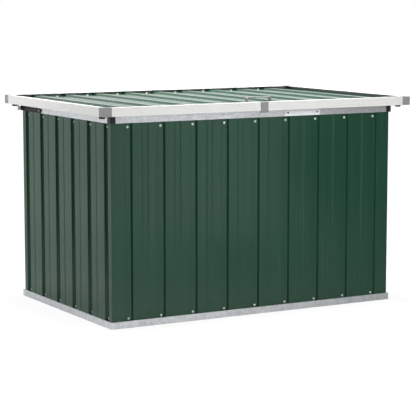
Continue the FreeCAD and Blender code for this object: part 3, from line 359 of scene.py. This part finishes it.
def thicken(piece, thickness):
    """Give a sheet its thickness on the inner side, with flats that stay flat beside the round bends."""
    bpy.ops.object.modifier_add(type="SOLIDIFY")
    wall = piece.modifiers[-1]
    wall.thickness = thickness
    wall.offset = -1
    wall.use_even_offset = True
    bpy.ops.object.modifier_apply(modifier=wall.name)
    bpy.ops.object.shade_smooth_by_angle(angle=SMOOTH_ANGLE)
    bpy.ops.object.modifier_add(type="WEIGHTED_NORMAL")
    flats = piece.modifiers[-1]
    flats.keep_sharp = True
    bpy.ops.object.modifier_apply(modifier=flats.name)


def roll_sheet(name, line, sheets, origin, along, inward, rise, length):
    """Roll a sheet: draw one edge out through its bends, round them and give the sheet its thickness."""
    place, depth = line[0]
    piece = start_edge(name, origin + along * place + inward * depth, along, rise, length)
    bpy.ops.mesh.select_mode(type="EDGE")
    bpy.ops.mesh.select_all(action="SELECT")
    for (place, depth), (next_place, next_depth) in zip(line, line[1:]):
        step = along * (next_place - place) + inward * (next_depth - depth)
        bpy.ops.mesh.extrude_region_move(TRANSFORM_OT_translate={"value": step})
    face_outward(piece, inward)
    round_bends(piece, sheets)
    bpy.ops.object.mode_set(mode="OBJECT")
    thicken(piece, sheets.thickness)
    return piece


def common_box(names):
    """Lowest and highest corner of several nodes together."""
    lows, highs = zip(*(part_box(name) for name in names))
    return Vector(map(min, *lows)), Vector(map(max, *highs))


def wall_pitch(sheets, side):
    """Groove spacing of a wall, from the base rail below it."""
    low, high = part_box(f"base_rail_{side}")
    names, along, _ = WALLS[side]
    end_flat = sheets.long_end_flat if side in LONG_WALLS else sheets.short_end_flat
    span = abs((high - low).dot(along)) - 2 * end_flat
    return span / (GROOVES_PER_SHEET * len(names) - 1)


# Shader nodes

def feed(tree, socket, value):
    """Link an input socket to an output, or set its value."""
    if isinstance(value, bpy.types.NodeSocket):
        tree.links.new(value, socket)
    else:
        socket.default_value = value


def add_node(tree, kind, **values):
    """A shader node with its inputs fed by name; an underscore stands for a space."""
    node = tree.nodes.new(kind)
    for name, value in values.items():
        feed(tree, node.inputs[name.replace("_", " ")], value)
    return node


def maths(tree, operation, first, second, clamp=False):
    """A Math node fed by sockets or numbers; gives its output."""
    node = tree.nodes.new("ShaderNodeMath")
    node.operation = operation
    node.use_clamp = clamp
    for socket, value in zip(node.inputs, (first, second)):
        feed(tree, socket, value)
    return node.outputs["Value"]


def vector_maths(tree, operation, *values):
    """A Vector Math node fed by sockets or vectors; gives its outputs."""
    node = tree.nodes.new("ShaderNodeVectorMath")
    node.operation = operation
    for socket, value in zip(node.inputs, values):
        feed(tree, socket, value)
    return node.outputs


def mix(tree, factor, first, second, kind="FLOAT"):
    """A Mix node of two numbers or two colours, fed by sockets or values; gives its output."""
    node = tree.nodes.new("ShaderNodeMix")
    node.data_type = kind
    *inputs, result = MIX_SOCKETS[kind]
    for place, value in zip(inputs, (factor, first, second)):
        feed(tree, node.inputs[place], value)
    return node.outputs[result]


def blend(tree, factor, first, second):
    """A mix of two colours, each given by a socket or as red, green and blue; gives its output."""
    ends = [end if isinstance(end, bpy.types.NodeSocket) else (*end, 1.0) for end in (first, second)]
    return mix(tree, factor, *ends, kind="RGBA")


def spread(tree, value, low, high, to_low=0.0, to_high=1.0):
    """A Map Range node from one span to another; gives its output."""
    node = add_node(
        tree, "ShaderNodeMapRange", Value=value, From_Min=low, From_Max=high, To_Min=to_low, To_Max=to_high)
    return node.outputs["Result"]


def axes(tree, vector):
    """The X, Y and Z of a vector, as sockets."""
    return add_node(tree, "ShaderNodeSeparateXYZ", Vector=vector).outputs


def object_place(tree, scale=(1.0, 1.0, 1.0)):
    """Object coordinates, stretched by a scale along each axis."""
    source = tree.nodes.new("ShaderNodeTexCoord")
    mapping = add_node(tree, "ShaderNodeMapping", Vector=source.outputs["Object"], Scale=scale)
    return mapping.outputs["Vector"]


def noise(tree, place, scale, detail=2.0, roughness=0.5):
    """A noise texture on the given coordinates; gives its value."""
    node = add_node(
        tree, "ShaderNodeTexNoise", Vector=place, Scale=scale, Detail=detail, Roughness=roughness)
    return node.outputs["Fac"]


# Shader groups

def new_group(name, inputs, outputs):
    """An empty shader group with named sockets; gives it with its input and output sockets."""
    group = bpy.data.node_groups.new(name, "ShaderNodeTree")
    for socket, (kind, value) in inputs.items():
        item = group.interface.new_socket(socket, in_out="INPUT", socket_type=f"NodeSocket{kind}")
        item.default_value = value
    for socket, kind in outputs.items():
        group.interface.new_socket(socket, in_out="OUTPUT", socket_type=f"NodeSocket{kind}")
    entry = group.nodes.new("NodeGroupInput")
    leave = group.nodes.new("NodeGroupOutput")
    return group, entry.outputs, leave.inputs


def give_mask(group, mask, entry, leave):
    """Scale a mask by the group's amount and give it out."""
    group.links.new(maths(group, "MULTIPLY", mask, entry["Amount"], clamp=True), leave["Mask"])


def tone_group():
    """A colour that drifts a little lighter and darker from place to place."""
    group, entry, leave = new_group(
        "Tone drift",
        {"Color": ("Color", (0.5, 0.5, 0.5, 1.0)), "Scale": ("Float", 3.0), "Amount": ("Float", 0.1)},
        {"Color": "Color", "Value": "Float"})
    value = noise(group, object_place(group), entry["Scale"], detail=3.0)
    darkest = maths(group, "SUBTRACT", 1.0, entry["Amount"])
    lightest = maths(group, "ADD", 1.0, entry["Amount"])
    factor = spread(group, value, low=0.0, high=1.0, to_low=darkest, to_high=lightest)
    group.links.new(vector_maths(group, "MULTIPLY", entry["Color"], factor)["Vector"], leave["Color"])
    group.links.new(value, leave["Value"])
    return group


def grain_group():
    """Fine grain of a coat or a moulded surface, as a height and a value."""
    group, entry, leave = new_group(
        "Fine grain", {"Scale": ("Float", 900.0), "Waviness": ("Float", 0.35)},
        {"Height": "Float", "Value": "Float"})
    place = object_place(group)
    fine = noise(group, place, entry["Scale"], roughness=0.6)
    wave_scale = maths(group, "MULTIPLY", entry["Scale"], WAVE_TO_GRAIN)
    wide = noise(group, place, wave_scale, detail=1.0)
    waves = maths(group, "MULTIPLY", wide, entry["Waviness"])
    group.links.new(maths(group, "ADD", fine, waves), leave["Height"])
    group.links.new(fine, leave["Value"])
    return group


def streak_group():
    """Faint rain streaks that run down a wall."""
    group, entry, leave = new_group("Rain streaks", {"Amount": ("Float", 0.5)}, {"Mask": "Float"})
    upright = object_place(group, scale=(38.0, 38.0, 1.1))
    patches = object_place(group, scale=(3.0, 3.0, 2.2))
    lines = spread(group, noise(group, upright, scale=1.0, detail=4.0, roughness=0.65), low=0.52, high=0.78)
    breaks = spread(group, noise(group, patches, scale=1.0), low=0.42, high=0.70)
    give_mask(group, maths(group, "MULTIPLY", lines, breaks), entry, leave)
    return group


def dust_group():
    """Dust thrown up from the ground: thick at the foot of the box and gone higher up."""
    group, entry, leave = new_group(
        "Ground dust", {"Height": ("Float", 0.12), "Amount": ("Float", 0.4)}, {"Mask": "Float"})
    place = object_place(group)
    rise = maths(group, "DIVIDE", axes(group, place)["Z"], entry["Height"])
    fade = maths(group, "POWER", maths(group, "SUBTRACT", 1.0, rise, clamp=True), DUST_FALL)
    speckle = spread(group, noise(group, place, scale=55.0, detail=5.0, roughness=0.7), low=0.35, high=0.75)
    give_mask(group, maths(group, "MULTIPLY", fade, speckle), entry, leave)
    return group


def edge_group():
    """Edges of a piece, found where a rounded normal leaves the true one, and that rounded normal."""
    group, entry, leave = new_group(
        "Worn edges", {"Radius": ("Float", 0.0010), "Amount": ("Float", 0.6)},
        {"Mask": "Float", "Normal": "Vector"})
    soft = add_node(group, "ShaderNodeBevel", Radius=entry["Radius"])
    soft.samples = 4
    geometry = group.nodes.new("ShaderNodeNewGeometry")
    meeting = vector_maths(group, "DOT_PRODUCT", soft.outputs["Normal"], geometry.outputs["Normal"])["Value"]
    bare = spread(group, maths(group, "SUBTRACT", 1.0, meeting, clamp=True), low=0.04, high=0.24)
    speckle = noise(group, object_place(group), scale=240.0, detail=4.0, roughness=0.7)
    chips = spread(group, speckle, low=0.40, high=0.66)
    give_mask(group, maths(group, "MULTIPLY", bare, chips), entry, leave)
    group.links.new(soft.outputs["Normal"], leave["Normal"])
    return group


def hollow_shade_group():
    """Painted shade for the hollows of a piece, found where its own faces close in on a place."""
    group, entry, leave = new_group(
        "Painted hollow shade", {"Distance": ("Float", 0.03), "Amount": ("Float", 0.9)}, {"Mask": "Float"})
    opening = add_node(group, "ShaderNodeAmbientOcclusion", Distance=entry["Distance"])
    opening.only_local = True
    opening.samples = 8
    # The mask is painted shade: the more closed in a place is, the darker it is painted
    give_mask(group, spread(group, opening.outputs["AO"], low=0.75, high=0.35), entry, leave)
    return group


def spangle_group():
    """Crystals of a galvanised coat: each has a tone of its own."""
    group, entry, leave = new_group(
        "Zinc spangle", {"Scale": ("Float", 90.0)}, {"Tone": "Float", "Height": "Float"})
    place = object_place(group)
    drift = add_node(group, "ShaderNodeTexNoise", Vector=place, Scale=60.0, Detail=2.0).outputs["Color"]
    bent = vector_maths(group, "MULTIPLY_ADD", drift, [CRYSTAL_BEND] * 3, place)["Vector"]
    cells = add_node(group, "ShaderNodeTexVoronoi", Vector=bent, Scale=entry["Scale"])
    split = add_node(group, "ShaderNodeSeparateColor", Color=cells.outputs["Color"])
    cloud = noise(group, place, scale=14.0, detail=4.0, roughness=0.6)
    group.links.new(mix(group, CLOUD_SHARE, split.outputs["Red"], cloud), leave["Tone"])
    group.links.new(cells.outputs["Distance"], leave["Height"])
    return group


GROUP_MAKERS = {
    "Tone drift": tone_group,
    "Fine grain": grain_group,
    "Rain streaks": streak_group,
    "Ground dust": dust_group,
    "Worn edges": edge_group,
    "Painted hollow shade": hollow_shade_group,
    "Zinc spangle": spangle_group,
}


def use_group(tree, name, **values):
    """A shared effect placed in a material, with its own values; gives its outputs."""
    node = tree.nodes.new("ShaderNodeGroup")
    node.node_tree = bpy.data.node_groups.get(name) or GROUP_MAKERS[name]()
    for socket, value in values.items():
        feed(tree, node.inputs[socket], value)
    return node.outputs


# Finishes

def new_finish(name, **values):
    """A material with a Principled shader whose inputs are set by name; gives it with those inputs."""
    material = bpy.data.materials.new(name)
    material.use_nodes = True
    tree = material.node_tree
    shader = tree.nodes["Principled BSDF"].inputs
    for socket, value in values.items():
        feed(tree, shader[socket.replace("_", " ")], value)
    return material, tree, shader


def vary_roughness(tree, shader, value, rough):
    """Roughness that swings between two ends with a noise value."""
    tree.links.new(spread(tree, value, NOISE_LOW, NOISE_HIGH, *rough), shader["Roughness"])


def add_bump(tree, shader, height, strength, distance, normal=None):
    """A Bump node from a height to the shader's normal."""
    bump = add_node(tree, "ShaderNodeBump", Height=height, Strength=strength, Distance=distance)
    if normal is not None:
        tree.links.new(normal, bump.inputs["Normal"])
    tree.links.new(bump.outputs["Normal"], shader["Normal"])


def green_coat(colours, name, streaks, dust_height, specular, rough):
    """Satin coat on rolled steel: slight drift of tone, fine grain, rain streaks and ground dust."""
    material, tree, shader = new_finish(name, IOR=1.5, Specular_IOR_Level=specular)
    tone = use_group(tree, "Tone drift", Color=(*colours.green, 1.0), Scale=2.6, Amount=0.10)
    rain = use_group(tree, "Rain streaks", Amount=streaks)["Mask"]
    streaked = blend(tree, rain, tone["Color"], colours.dust)
    ground = use_group(tree, "Ground dust", Height=dust_height, Amount=0.08)["Mask"]
    tree.links.new(blend(tree, ground, streaked, colours.dust), shader["Base Color"])
    clean = spread(tree, tone["Value"], NOISE_LOW, NOISE_HIGH, *rough)
    dulling = maths(tree, "MULTIPLY", ground, COAT_DULLING)
    tree.links.new(maths(tree, "ADD", clean, dulling), shader["Roughness"])
    grain = use_group(tree, "Fine grain", Scale=700.0, Waviness=0.5)
    add_bump(tree, shader, grain["Height"], strength=0.10, distance=0.0004)
    return material


def galvanised(name, dark, light, dust, scale, metallic, rough):
    """Hot-dip zinc: crystals of uneven tone, the light ones smoother, with dust at the foot."""
    material, tree, shader = new_finish(name, Metallic=metallic)
    spangle = use_group(tree, "Zinc spangle", Scale=scale)
    crystals = blend(tree, spread(tree, spangle["Tone"], low=0.22, high=0.78), dark, light)
    ground = use_group(tree, "Ground dust", Height=0.05, Amount=0.30)["Mask"]
    tree.links.new(blend(tree, ground, crystals, dust), shader["Base Color"])
    smooth, dull = rough
    clean = spread(tree, spangle["Tone"], low=0.2, high=0.8, to_low=dull, to_high=smooth)
    dulling = maths(tree, "MULTIPLY", ground, ZINC_DULLING)
    tree.links.new(maths(tree, "ADD", clean, dulling), shader["Roughness"])
    edges = use_group(tree, "Worn edges", Radius=0.0008)
    add_bump(tree, shader, spangle["Height"], strength=0.06, distance=0.0004, normal=edges["Normal"])
    return material


def white_coat(colours):
    """White powder coat: fine orange peel, a little dust along its edges, and painted shade, tinted green,
    in its hollows.
    """
    material, tree, shader = new_finish("White powder coat", IOR=1.5)
    tone = use_group(tree, "Tone drift", Color=(*colours.white, 1.0), Scale=4.0, Amount=0.025)
    edges = use_group(tree, "Worn edges", Radius=0.0012, Amount=0.25)
    coat = blend(tree, edges["Mask"], tone["Color"], colours.dust)
    # Painted shade: the hollows of the white coat are darkened towards the green-tinted shade colour
    hollow = use_group(tree, "Painted hollow shade", Distance=0.03, Amount=0.85)["Mask"]
    tree.links.new(blend(tree, hollow, coat, colours.hollow_shade), shader["Base Color"])
    grain = use_group(tree, "Fine grain", Scale=800.0, Waviness=0.6)
    vary_roughness(tree, shader, grain["Value"], rough=(0.34, 0.44))
    add_bump(tree, shader, grain["Height"], strength=0.12, distance=0.0004, normal=edges["Normal"])
    return material


def moulded_plastic(name, colour, edge_gain, rough):
    """Moulded plastic with a fine sparked grain, and edges that rubbing has made lighter."""
    material, tree, shader = new_finish(name, IOR=1.47)
    tone = use_group(tree, "Tone drift", Color=(*colour, 1.0), Scale=22.0, Amount=0.06)
    edges = use_group(tree, "Worn edges", Radius=0.0012, Amount=0.35)
    rubbed = tuple(min(1.0, part * edge_gain) for part in colour)
    tree.links.new(blend(tree, edges["Mask"], tone["Color"], rubbed), shader["Base Color"])
    grain = use_group(tree, "Fine grain", Scale=1500.0, Waviness=0.2)
    vary_roughness(tree, shader, grain["Value"], rough)
    add_bump(tree, shader, grain["Height"], strength=0.20, distance=0.0003, normal=edges["Normal"])
    return material


def dark_coat(colours, name, rough):
    """Black coat on steel, bare metal showing at rubbed edges."""
    material, tree, shader = new_finish(name, IOR=1.5, Specular_IOR_Level=0.15)
    tone = use_group(tree, "Tone drift", Color=(*colours.black, 1.0), Scale=30.0, Amount=0.08)
    edges = use_group(tree, "Worn edges", Radius=0.0008, Amount=0.35)
    tree.links.new(blend(tree, edges["Mask"], tone["Color"], colours.plated), shader["Base Color"])
    tree.links.new(edges["Mask"], shader["Metallic"])
    grain = use_group(tree, "Fine grain", Scale=1100.0, Waviness=0.4)
    vary_roughness(tree, shader, grain["Value"], rough)
    add_bump(tree, shader, grain["Height"], strength=0.12, distance=0.0003, normal=edges["Normal"])
    return material


def plated_steel(colours):
    """Bright zinc plating with faint tarnish."""
    material, tree, shader = new_finish("Plated steel", Metallic=1.0)
    tone = use_group(tree, "Tone drift", Color=(*colours.plated, 1.0), Scale=35.0, Amount=0.14)
    tree.links.new(tone["Color"], shader["Base Color"])
    vary_roughness(tree, shader, tone["Value"], rough=(0.26, 0.42))
    grain = use_group(tree, "Fine grain", Scale=1300.0, Waviness=0.2)
    edges = use_group(tree, "Worn edges", Radius=0.0006)
    add_bump(tree, shader, grain["Height"], strength=0.06, distance=0.0003, normal=edges["Normal"])
    return material


def light_heads(colours):
    """Pale coated screw heads, with metal showing where a driver has rubbed their edges."""
    material, tree, shader = new_finish("Light screw heads", IOR=1.5)
    tone = use_group(tree, "Tone drift", Color=(*colours.screw, 1.0), Scale=90.0, Amount=0.10)
    edges = use_group(tree, "Worn edges", Radius=0.0005, Amount=0.35)
    tree.links.new(blend(tree, edges["Mask"], tone["Color"], colours.plated), shader["Base Color"])
    vary_roughness(tree, shader, tone["Value"], rough=(0.28, 0.42))
    grain = use_group(tree, "Fine grain", Scale=1600.0, Waviness=0.2)
    add_bump(tree, shader, grain["Height"], strength=0.08, distance=0.0002, normal=edges["Normal"])
    return material


def chrome_plate(colours):
    """Polished chrome with faint hand marks."""
    material, tree, shader = new_finish("Polished strut rod", Metallic=1.0)
    tone = use_group(tree, "Tone drift", Color=(*colours.chrome, 1.0), Scale=26.0, Amount=0.04)
    tree.links.new(tone["Color"], shader["Base Color"])
    marks = spread(tree, tone["Value"], low=0.35, high=0.70, to_low=0.12, to_high=0.22)
    tree.links.new(marks, shader["Roughness"])
    grain = use_group(tree, "Fine grain", Scale=500.0, Waviness=0.4)
    add_bump(tree, shader, grain["Height"], strength=0.02, distance=0.0002)
    return material


def finish_nodes(material, *starts):
    """Give a finish to every CAD node whose name starts with one of the given words."""
    found = [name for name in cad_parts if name.startswith(starts)]
    if not found:
        raise ValueError(f"no node starts with {starts}")
    for name in found:
        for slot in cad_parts[name].material_slots:
            slot.material = material


# Operators

class STORAGEBOX_OT_walls(bpy.types.Operator):
    """Roll the wall sheets and give them their green coat"""

    bl_idname = "storagebox.walls"
    bl_label = "Wall sheets"

    def execute(self, context):
        sheets = context.scene.storage_box_sheets
        coat = green_coat(
            context.scene.storage_box_colours, "Green wall coat", streaks=0.05, dust_height=0.16,
            specular=0.36, rough=(0.15, 0.21))
        for side, (names, along, inward) in WALLS.items():
            low, high = common_box([f"wall_{side}_{name}" for name in names])
            spans = high - low
            reach = abs(spans.dot(along)) / 2
            origin = (low + high) / 2 - inward * abs(spans.dot(inward)) / 2
            origin.z = low.z
            pitch = wall_pitch(sheets, side)
            folded = side in LONG_WALLS
            for number, name in enumerate(names):
                line = sheet_line(sheets, number, len(names), pitch, reach, sheets.groove_depth, folded)
                piece = roll_sheet(
                    f"rolled_wall_{side}_{name}", line, sheets, origin, along, inward, UP, spans.z)
                piece.data.materials.append(coat)
                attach(piece, "box")
                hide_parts(f"wall_{side}_{name}")
        return {"FINISHED"}


class STORAGEBOX_OT_lid_sheets(bpy.types.Operator):
    """Roll the lid sheets, ribs up, and give them their green coat"""

    bl_idname = "storagebox.lid_sheets"
    bl_label = "Lid sheets"

    def execute(self, context):
        sheets = context.scene.storage_box_sheets
        coat = green_coat(
            context.scene.storage_box_colours, "Green lid coat", streaks=0.05, dust_height=0.02,
            specular=0.60, rough=(0.15, 0.19))
        names = WALLS["front"][0]
        pitch = wall_pitch(sheets, "front")
        for number, name in enumerate(names):
            low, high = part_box(f"lid_sheet_{name}")
            reach = max(abs(low.x), abs(high.x))
            origin = Vector((0, high.y, low.z))
            line = sheet_line(sheets, number, len(names), pitch, reach, sheets.lid_rib_height, False)
            piece = roll_sheet(f"rolled_lid_{name}", line, sheets, origin, RIGHT, UP, -REAR, high.y - low.y)
            piece.data.materials.append(coat)
            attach(piece, "lid")
            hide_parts(f"lid_sheet_{name}")
        return {"FINISHED"}


class STORAGEBOX_OT_rails(bpy.types.Operator):
    """Galvanise the base rails, the upper rails, their splices and the rails under the lid"""

    bl_idname = "storagebox.rails"
    bl_label = "Galvanised rails"

    def execute(self, context):
        colours = context.scene.storage_box_colours
        base = galvanised(
            "Galvanised base rail", colours.zinc_dark, colours.zinc_light, colours.dust, scale=95.0,
            metallic=0.75, rough=(0.34, 0.52))
        finish_nodes(base, "base_rail_")
        upper = galvanised(
            "Galvanised upper rail", colours.zinc_dark, colours.zinc_light, colours.dust, scale=130.0,
            metallic=0.85, rough=(0.30, 0.46))
        finish_nodes(upper, "upper_rail_", "lid_rail_")
        splice = galvanised(
            "Bright galvanised splice", colours.zinc_light, colours.zinc_bright, colours.dust, scale=180.0,
            metallic=0.0, rough=(0.34, 0.46))
        finish_nodes(splice, "rail_splices")
        return {"FINISHED"}


class STORAGEBOX_OT_lid_frame(bpy.types.Operator):
    """Coat the lid frame and its hinge ears white, and make its joints and the handle grey"""

    bl_idname = "storagebox.lid_frame"
    bl_label = "Lid frame"

    def execute(self, context):
        colours = context.scene.storage_box_colours
        finish_nodes(white_coat(colours), "lid_frame_", "hinge_ears")
        grey = moulded_plastic("Grey moulded plastic", colours.grey, edge_gain=1.25, rough=(0.42, 0.54))
        finish_nodes(grey, "lid_corner_front", "lid_corner_rear", "lid_joint_", "lid_handle")
        return {"FINISHED"}


class STORAGEBOX_OT_black_fittings(bpy.types.Operator):
    """Finish the black corner blocks, caps, hinge bars and dark screws"""

    bl_idname = "storagebox.black_fittings"
    bl_label = "Black fittings"

    def execute(self, context):
        colours = context.scene.storage_box_colours
        black = moulded_plastic("Black moulded plastic", colours.black, edge_gain=2.2, rough=(0.40, 0.52))
        finish_nodes(black, "corner_blocks", "lid_corner_caps")
        hinge = dark_coat(colours, "Black hinge coat", rough=(0.35, 0.45))
        finish_nodes(hinge, "hinge_bar_left", "hinge_bar_right")
        screw = dark_coat(colours, "Dark screw coat", rough=(0.31, 0.41))
        finish_nodes(screw, "splice_screws")
        return {"FINISHED"}


class STORAGEBOX_OT_hardware(bpy.types.Operator):
    """Finish the light screws, the hinge pins and the plated brackets"""

    bl_idname = "storagebox.hardware"
    bl_label = "Screws, pins and brackets"

    def execute(self, context):
        colours = context.scene.storage_box_colours
        finish_nodes(light_heads(colours), "wall_screws_", "lid_screws", "hinge_bar_screws", "hinge_pins")
        finish_nodes(plated_steel(colours), "base_corner_angles", "strut_brackets", "strut_tabs")
        return {"FINISHED"}


class STORAGEBOX_OT_struts(bpy.types.Operator):
    """Finish the gas struts: black tubes and polished rods"""

    bl_idname = "storagebox.struts"
    bl_label = "Gas struts"

    def execute(self, context):
        colours = context.scene.storage_box_colours
        finish_nodes(dark_coat(colours, "Black strut coat", rough=(0.23, 0.33)), "strut_tube_")
        finish_nodes(chrome_plate(colours), "strut_rod_")
        return {"FINISHED"}


# Studio

def floor_mirror(tree, studio, place, reach):
    """White that shiny pieces see in the floor: dimmer to the right before the box, brighter far from it."""
    way = axes(tree, place)
    before = spread(tree, way["X"], CAD_LOW.x, CAD_HIGH.x, studio.mirror_left, studio.mirror_right)
    beside = spread(
        tree, reach, studio.floor_near, studio.mirror_reach, studio.mirror_near, studio.mirror_far)
    in_front = spread(tree, way["Y"], low=0.0, high=CAD_LOW.y)
    return mix(tree, in_front, beside, before)


def floor_finish(colours, studio):
    """Pale floor: white to the camera but for the box's shadow, and of uneven white to shiny pieces."""
    material = bpy.data.materials.new("Pale floor")
    material.use_nodes = True
    tree = material.node_tree
    tree.nodes.clear()
    path = tree.nodes.new("ShaderNodeLightPath").outputs
    place = object_place(tree)
    reach = vector_maths(tree, "LENGTH", place)["Value"]
    seen = maths(tree, "ADD", path["Is Camera Ray"], path["Is Transmission Ray"])
    shown = maths(tree, "ADD", seen, path["Is Glossy Ray"], clamp=True)
    shaded = tuple(part * studio.floor_shade for part in colours.floor)
    matt = add_node(tree, "ShaderNodeBsdfDiffuse", Color=blend(tree, shown, colours.floor, shaded))

    plain = spread(tree, reach, studio.floor_near, studio.floor_far, studio.floor_glow, 1.0)
    to_camera = maths(tree, "MULTIPLY", seen, plain)
    mirrored = floor_mirror(tree, studio, place, reach)
    to_shiny = maths(tree, "MULTIPLY", path["Is Glossy Ray"], mirrored)
    strength = maths(tree, "ADD", to_camera, to_shiny)
    glow = add_node(tree, "ShaderNodeEmission", Color=WHITE, Strength=strength)
    both = tree.nodes.new("ShaderNodeAddShader")
    for socket, part in zip(both.inputs, (matt, glow)):
        tree.links.new(part.outputs[0], socket)
    add_node(tree, "ShaderNodeOutputMaterial", Surface=both.outputs["Shader"])
    return material


def studio_sky(scene, studio):
    """Soft sky: white to the camera, and darker to the front in what shiny pieces show."""
    world = bpy.data.worlds.new("Studio sky")
    scene.world = world
    world.use_nodes = True
    tree = world.node_tree
    path = tree.nodes.new("ShaderNodeLightPath").outputs
    way = axes(tree, tree.nodes.new("ShaderNodeTexCoord").outputs["Generated"])
    mirrored = spread(tree, way["Y"], SKY_FRONT, SKY_REAR, studio.sky_dark, studio.sky_bright)
    level = mix(tree, path["Is Glossy Ray"], studio.sky_light, mirrored)
    seen = maths(tree, "ADD", path["Is Camera Ray"], path["Is Transmission Ray"], clamp=True)
    sky = tree.nodes["Background"].inputs
    feed(tree, sky["Color"], WHITE)
    feed(tree, sky["Strength"], mix(tree, seen, level, 1.0))


def add_lamp(name, target, power, place, size, fan):
    """A soft square lamp that looks at a target; shiny pieces show the sky and the cards instead of it."""
    bpy.ops.object.light_add(type="AREA", location=place)
    lamp = bpy.context.object
    lamp.name = name
    lamp.rotation_euler = (target - Vector(place)).to_track_quat("-Z", "Y").to_euler()
    lamp.data.size = size
    lamp.data.energy = power
    lamp.data.spread = fan
    lamp.visible_glossy = False


def card_finish(name, tone, light):
    """A grey card with some white light of its own."""
    material, _, _ = new_finish(
        name, Base_Color=(tone, tone, tone, 1.0), Emission_Color=WHITE, Emission_Strength=light)
    return material


def add_card(name, material, foot, width, height, turn):
    """A standing card that is seen only in shiny pieces."""
    start_piece()
    place = Vector(foot) + UP * (height / 2)
    bpy.ops.mesh.primitive_plane_add(size=1, location=place, rotation=(math.pi / 2, 0, turn))
    card = bpy.context.object
    card.name = name
    card.scale = (width, height, 1)
    bpy.ops.object.transform_apply(location=True, rotation=True, scale=True)
    card.data.materials.append(material)
    card.visible_camera = False
    card.visible_diffuse = False
    card.visible_transmission = False
    card.visible_shadow = False


class STORAGEBOX_OT_studio(bpy.types.Operator):
    """Set up the floor, the sky, the lamps, the cards and the camera"""

    bl_idname = "storagebox.studio"
    bl_label = "Studio"

    def execute(self, context):
        scene = context.scene
        studio = scene.storage_box_studio
        start_piece()
        bpy.ops.mesh.primitive_plane_add(size=studio.floor_size, location=(0, 0, CAD_LOW.z))
        floor = context.object
        floor.name = "studio_floor"
        floor.data.materials.append(floor_finish(scene.storage_box_colours, studio))
        studio_sky(scene, studio)

        middle = (CAD_LOW + CAD_HIGH) / 2
        add_lamp("front_lamp", middle, studio.front_power, **LAMPS["front_lamp"])
        add_lamp("top_lamp", middle, studio.top_power, **LAMPS["top_lamp"])
        add_lamp("side_lamp", middle, studio.side_power, **LAMPS["side_lamp"])
        white = card_finish("White card", studio.white_tone, studio.card_light)
        dark = card_finish("Dark card", studio.card_tone, light=0.0)
        add_card("light_card", white, **CARDS["light_card"])
        add_card("left_card", dark, **CARDS["left_card"])
        add_card("right_card", dark, **CARDS["right_card"])

        bpy.ops.object.camera_add(
            location=studio.camera_place,
            rotation=(math.pi / 2 - studio.camera_pitch, 0, -studio.camera_yaw))
        camera = context.object
        camera.data.lens = studio.camera_lens
        camera.data.clip_end = studio.floor_size
        scene.camera = camera
        scene.view_settings.view_transform = "Standard"
        return {"FINISHED"}


class STORAGEBOX_PT_sidebar(bpy.types.Panel):
    """Sidebar panel that lists the steps and their values"""

    bl_idname = "STORAGEBOX_PT_sidebar"
    bl_label = "Storage Box"
    bl_space_type = "VIEW_3D"
    bl_region_type = "UI"
    bl_category = "Storage Box"

    def draw(self, context):
        scene = context.scene
        for operator in OPERATORS:
            self.layout.operator(operator.bl_idname)
        for values in (scene.storage_box_sheets, scene.storage_box_colours, scene.storage_box_studio):
            box = self.layout.box()
            for name in values.bl_rna.properties.keys():
                if name not in ("rna_type", "name"):
                    box.prop(values, name)


OPERATORS = (
    STORAGEBOX_OT_walls,
    STORAGEBOX_OT_lid_sheets,
    STORAGEBOX_OT_rails,
    STORAGEBOX_OT_lid_frame,
    STORAGEBOX_OT_black_fittings,
    STORAGEBOX_OT_hardware,
    STORAGEBOX_OT_struts,
    STORAGEBOX_OT_studio,
)
GROUPS = {
    "storage_box_sheets": StorageBoxSheets,
    "storage_box_colours": StorageBoxColours,
    "storage_box_studio": StorageBoxStudio,
}


def register():
    """Make the values, the operators and the panel known to Blender."""
    for name, group in GROUPS.items():
        bpy.utils.register_class(group)
        setattr(bpy.types.Scene, name, bpy.props.PointerProperty(type=group))
    for operator in OPERATORS:
        bpy.utils.register_class(operator)
    bpy.utils.register_class(STORAGEBOX_PT_sidebar)


def unregister():
    """Take the panel, the operators and the values away again."""
    bpy.utils.unregister_class(STORAGEBOX_PT_sidebar)
    for operator in reversed(OPERATORS):
        bpy.utils.unregister_class(operator)
    for name, group in GROUPS.items():
        delattr(bpy.types.Scene, name)
        bpy.utils.unregister_class(group)


def main():
    """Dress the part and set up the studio."""
    register()
    bpy.ops.storagebox.walls()
    bpy.ops.storagebox.lid_sheets()
    bpy.ops.storagebox.rails()
    bpy.ops.storagebox.lid_frame()
    bpy.ops.storagebox.black_fittings()
    bpy.ops.storagebox.hardware()
    bpy.ops.storagebox.struts()
    bpy.ops.storagebox.studio()


if __name__ == "__main__":
    main()
